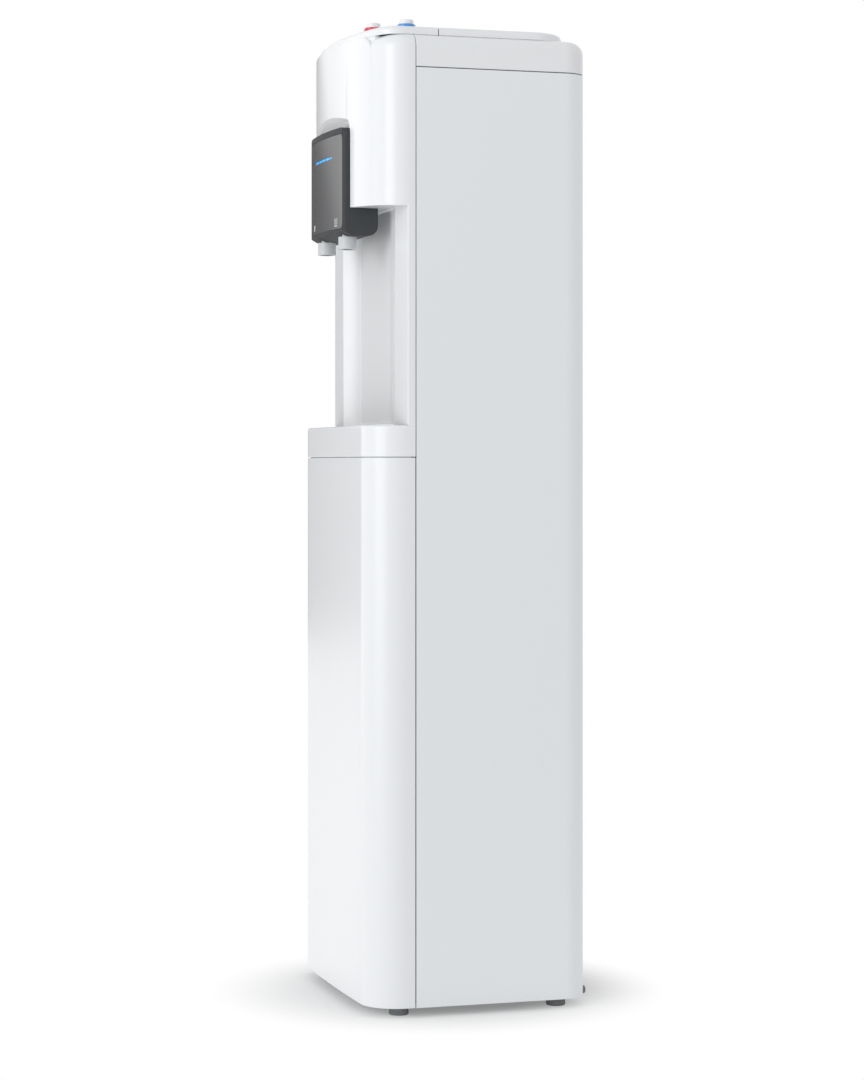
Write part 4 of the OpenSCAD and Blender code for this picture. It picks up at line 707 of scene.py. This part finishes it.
class COOLER_OT_fit_outlets(bpy.types.Operator):
    """Fit the dark flow inserts in the ends of the nozzles"""
    bl_idname = "cooler.fit_outlets"
    bl_label = "Fit outlets"

    def execute(self, context):
        side_gap, depth, middle_rise = 0.0005, 0.0009, 0.0004
        rim, rim_rise, flow_ring, flow_drop = 0.0032, 0.0006, 0.0020, 0.0004
        inserts = []
        for node in ("hot_nozzle", "cold_nozzle"):
            low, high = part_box(node)
            radius = (high.x - low.x) / 2
            place = (low.x + radius, low.y + radius, low.z + middle_rise)
            bpy.ops.mesh.primitive_cylinder_add(vertices=48, radius=radius - side_gap, depth=depth,
                                                location=place)
            insert = context.active_object
            settle(insert)
            select_faces(insert, lambda f: f.normal.z < -0.9)
            bpy.ops.mesh.inset(thickness=rim)
            bpy.ops.transform.translate(value=(0, 0, rim_rise))
            bpy.ops.mesh.inset(thickness=flow_ring)
            bpy.ops.transform.translate(value=(0, 0, -flow_drop))
            leave()
            inserts.append(insert)
        outlets = join(inserts, "outlet_inserts")
        smooth(outlets)
        dress(outlets, "cabinet", "black_housing")
        return {"FINISHED"}


# Screws at the back

def islands(node):
    """Lowest and highest corner of each separate solid of a CAD node."""
    bm = bmesh.new()
    bm.from_mesh(frame["nodes"][node].data)
    bmesh.ops.remove_doubles(bm, verts=bm.verts, dist=MERGE_REACH)
    left, found = set(bm.verts), []
    while left:
        group, queue = set(), [left.pop()]
        while queue:
            v = queue.pop()
            group.add(v)
            for e in v.link_edges:
                w = e.other_vert(v)
                if w in left:
                    left.discard(w)
                    queue.append(w)
        found.append([Vector([end(v.co[i] for v in group) for i in range(3)]) for end in (min, max)])
    bm.free()
    return sorted(found, key=lambda box: (round(box[0].x, 4), round(box[0].z, 4)))


def cross_screw(name, radius, height):
    """A pan head with a cross recess, facing +Y with its seat at the origin."""
    crown_share, slot_length, slot_width = 0.55, 1.1, 0.26
    bpy.ops.mesh.primitive_cylinder_add(vertices=32, radius=radius, depth=height)
    head = rename(bpy.context.active_object, name)
    head.matrix_world = (Matrix.Rotation(math.radians(-90), 4, "X")
                         @ Matrix.Translation((0, 0, height / 2)))
    settle(head)
    select_edges(head, lambda e: min(v.co.y for v in e.verts) > height * 0.9)
    bpy.ops.mesh.bevel(offset=height * crown_share, segments=4, affect="EDGES")
    leave()
    for turn in (0, 90):
        bpy.ops.mesh.primitive_cube_add(size=1, location=(0, height, 0))
        cutter = bpy.context.active_object
        cutter.scale = (radius * slot_length, height, radius * slot_width)
        cutter.rotation_euler = (0, math.radians(turn), 0)
        settle(cutter)
        cut = head.modifiers.new("recess", "BOOLEAN")
        cut.operation = "DIFFERENCE"
        cut.solver = "EXACT"
        cut.object = cutter
        only(head)
        bpy.ops.object.modifier_apply(modifier=cut.name)
        bpy.data.objects.remove(cutter, do_unlink=True)
    return head


class COOLER_OT_fit_screws(bpy.types.Operator):
    """Fit cross recessed screw heads round the rear panel"""
    bl_idname = "cooler.fit_screws"
    bl_label = "Fit screws"

    def execute(self, context):
        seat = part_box("rear_panel")[1].y
        first_turn, next_turn = 17, 41
        screws = []
        for i, (low, high) in enumerate(islands("panel_screws")):
            head = cross_screw(f"screw_{i}", (high.x - low.x) / 2, high.y - seat)
            place = ((low.x + high.x) / 2, seat, (low.z + high.z) / 2)
            turn = Matrix.Rotation(math.radians(first_turn + next_turn * i), 4, "Y")
            head.matrix_world = Matrix.Translation(place) @ turn
            settle(head)
            screws.append(head)
        heads = join(screws, "panel_screw_heads")
        smooth(heads, 40)
        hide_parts("panel_screws")
        dress(heads, "cabinet", "screw_steel")
        return {"FINISHED"}


# Studio

def floor_material():
    """Pale floor that keeps the cooler's shadow and turns into the white background."""
    material, tree = new_material("studio_floor")
    surface = tree.nodes["Principled BSDF"]
    surface.inputs["Base Color"].default_value = (0.86, 0.86, 0.86, 1)
    surface.inputs["Roughness"].default_value = 0.9
    surface.inputs["Specular IOR Level"].default_value = 0.0
    place = tree.nodes.new("ShaderNodeTexCoord")
    length = tree.nodes.new("ShaderNodeVectorMath")
    length.operation = "LENGTH"
    tree.links.new(place.outputs["Object"], length.inputs[0])
    shadow_to, white_from, least_white = 0.12, 0.26, 0.18
    share = spread(tree, length.outputs["Value"], shadow_to, white_from, least_white, 1.0)
    glow = tree.nodes.new("ShaderNodeEmission")
    glow.inputs["Strength"].default_value = 1.0
    shown = math_node(tree, "MULTIPLY", share, seen_straight(tree))
    mixed = mixed_shader(tree, shown, surface.outputs[0], glow.outputs[0])
    tree.links.new(mixed, tree.nodes["Material Output"].inputs["Surface"])
    return material


def white_world(level):
    world = bpy.data.worlds.new("white_studio")
    bpy.context.scene.world = world
    world.use_nodes = True
    tree = world.node_tree
    light = tree.nodes["Background"]
    light.inputs["Color"].default_value = (0.985, 0.992, 1.0, 1)
    light.inputs["Strength"].default_value = level
    shown = tree.nodes.new("ShaderNodeBackground")
    shown.inputs["Color"].default_value = (1, 1, 1, 1)
    shown.inputs["Strength"].default_value = 1.0
    mixed = mixed_shader(tree, seen_straight(tree), light.outputs[0], shown.outputs[0])
    tree.links.new(mixed, tree.nodes["World Output"].inputs["Surface"])


def area_lamp(name, place, target, size, power, colour=(1, 1, 1)):
    lamp = bpy.data.lights.new(name, "AREA")
    lamp.shape = "RECTANGLE"
    lamp.size, lamp.size_y = size
    lamp.energy = power
    lamp.color = colour
    holder = bpy.data.objects.new(name, lamp)
    bpy.context.scene.collection.objects.link(holder)
    holder.location = place
    holder.rotation_mode = "QUATERNION"
    holder.rotation_quaternion = (Vector(target) - Vector(place)).to_track_quat("-Z", "Y")


def lens_card(name, corners, level):
    """A grey card that only glossy faces see, for the lens to mirror."""
    bpy.ops.mesh.primitive_plane_add(size=2)
    card = rename(bpy.context.active_object, name)
    bm = edit(card, "VERT")
    for v, corner in zip(bm.verts, corners):
        v.co = corner
    bmesh.update_edit_mesh(card.data)
    leave()
    material, tree = new_material(name)
    tree.nodes.remove(tree.nodes["Principled BSDF"])
    glow = tree.nodes.new("ShaderNodeEmission")
    glow.inputs["Color"].default_value = (level, level, level, 1)
    tree.links.new(glow.outputs[0], tree.nodes["Material Output"].inputs["Surface"])
    card.data.materials.append(material)
    card.visible_camera = card.visible_diffuse = card.visible_shadow = False
    card.visible_transmission = card.visible_volume_scatter = False


class COOLER_OT_set_studio(bpy.types.Operator):
    """Set the floor, the white surround, the lamps and the camera"""
    bl_idname = "cooler.set_studio"
    bl_label = "Set studio"

    def execute(self, context):
        s = context.scene.cooler_studio
        bpy.ops.mesh.primitive_circle_add(vertices=96, radius=s.floor_reach, fill_type="NGON")
        floor = rename(context.active_object, "studio_floor")
        select_faces(floor, lambda f: True)
        bpy.ops.mesh.inset(thickness=s.floor_reach / 2)
        leave()
        floor.data.materials.append(floor_material())
        white_world(s.sky)
        area_lamp("front_lamp", place=(1.2, -3.2, 2.3), target=(0, 0, 0.75), size=(2.2, 2.2),
                  power=s.key_power, colour=(1.0, 0.995, 0.98))
        area_lamp("side_lamp", place=(2.03, -4.35, 1.5), target=(0, 0, 0.55), size=(3.0, 3.0),
                  power=s.side_power, colour=(0.98, 0.99, 1.0))
        area_lamp("strip_lamp", place=(-2.45, -2.06, 0.9), target=(0.1, -0.1, 0.6),
                  size=(0.7, 2.6), power=s.strip_power)
        card_x, card_foot, card_level = -3, 0.2, 0.07
        rear_y, rear_top, front_y, front_top = 0.8, 1.79, -2.8, 0.829
        lens_card("lens_flag", [(card_x, rear_y, card_foot), (card_x, front_y, card_foot),
                                (card_x, rear_y, rear_top), (card_x, front_y, front_top)],
                  card_level)
        view = bpy.data.cameras.new("studio_camera")
        view.sensor_fit = "VERTICAL"
        view.sensor_width = view.sensor_height = 36
        view.lens = s.camera_lens
        view.shift_y = s.camera_rise
        view.clip_start, view.clip_end = 0.05, 60
        camera = bpy.data.objects.new("studio_camera", view)
        context.scene.collection.objects.link(camera)
        camera.location = s.camera_place
        camera.rotation_mode = "QUATERNION"
        ahead = Vector((-math.cos(s.camera_turn), math.sin(s.camera_turn), 0))
        camera.rotation_quaternion = ahead.to_track_quat("-Z", "Y")
        context.scene.camera = camera
        context.scene.view_settings.view_transform = "Standard"
        return {"FINISHED"}


OPERATORS = (
    COOLER_OT_make_finishes, COOLER_OT_round_shells, COOLER_OT_fill_seams, COOLER_OT_place_dashes,
    COOLER_OT_place_icons, COOLER_OT_fit_outlets, COOLER_OT_fit_screws, COOLER_OT_set_studio,
)


class COOLER_PT_panel(bpy.types.Panel):
    """Lists the cooler's values and steps"""
    bl_idname = "COOLER_PT_panel"
    bl_label = "Water cooler"
    bl_space_type = "VIEW_3D"
    bl_region_type = "UI"
    bl_category = "Cooler"

    def draw(self, context):
        scene = context.scene
        for values in (scene.cooler_colours, scene.cooler_details, scene.cooler_studio):
            box = self.layout.box()
            for key in values.bl_rna.properties.keys():
                if key not in ("rna_type", "name"):
                    box.prop(values, key)
        for operator in OPERATORS:
            self.layout.operator(operator.bl_idname)


CLASSES = (CoolerColours, CoolerDetails, CoolerStudio, *OPERATORS, COOLER_PT_panel)


def register():
    for c in CLASSES:
        bpy.utils.register_class(c)
    bpy.types.Scene.cooler_colours = bpy.props.PointerProperty(type=CoolerColours)
    bpy.types.Scene.cooler_details = bpy.props.PointerProperty(type=CoolerDetails)
    bpy.types.Scene.cooler_studio = bpy.props.PointerProperty(type=CoolerStudio)


def unregister():
    del bpy.types.Scene.cooler_colours, bpy.types.Scene.cooler_details, bpy.types.Scene.cooler_studio
    for c in reversed(CLASSES):
        bpy.utils.unregister_class(c)


def main():
    register()
    bpy.ops.cooler.make_finishes()
    bpy.ops.cooler.round_shells()
    bpy.ops.cooler.fill_seams()
    bpy.ops.cooler.place_dashes()
    bpy.ops.cooler.place_icons()
    bpy.ops.cooler.fit_outlets()
    bpy.ops.cooler.fit_screws()
    bpy.ops.cooler.set_studio()


if __name__ == "__main__":
    main()
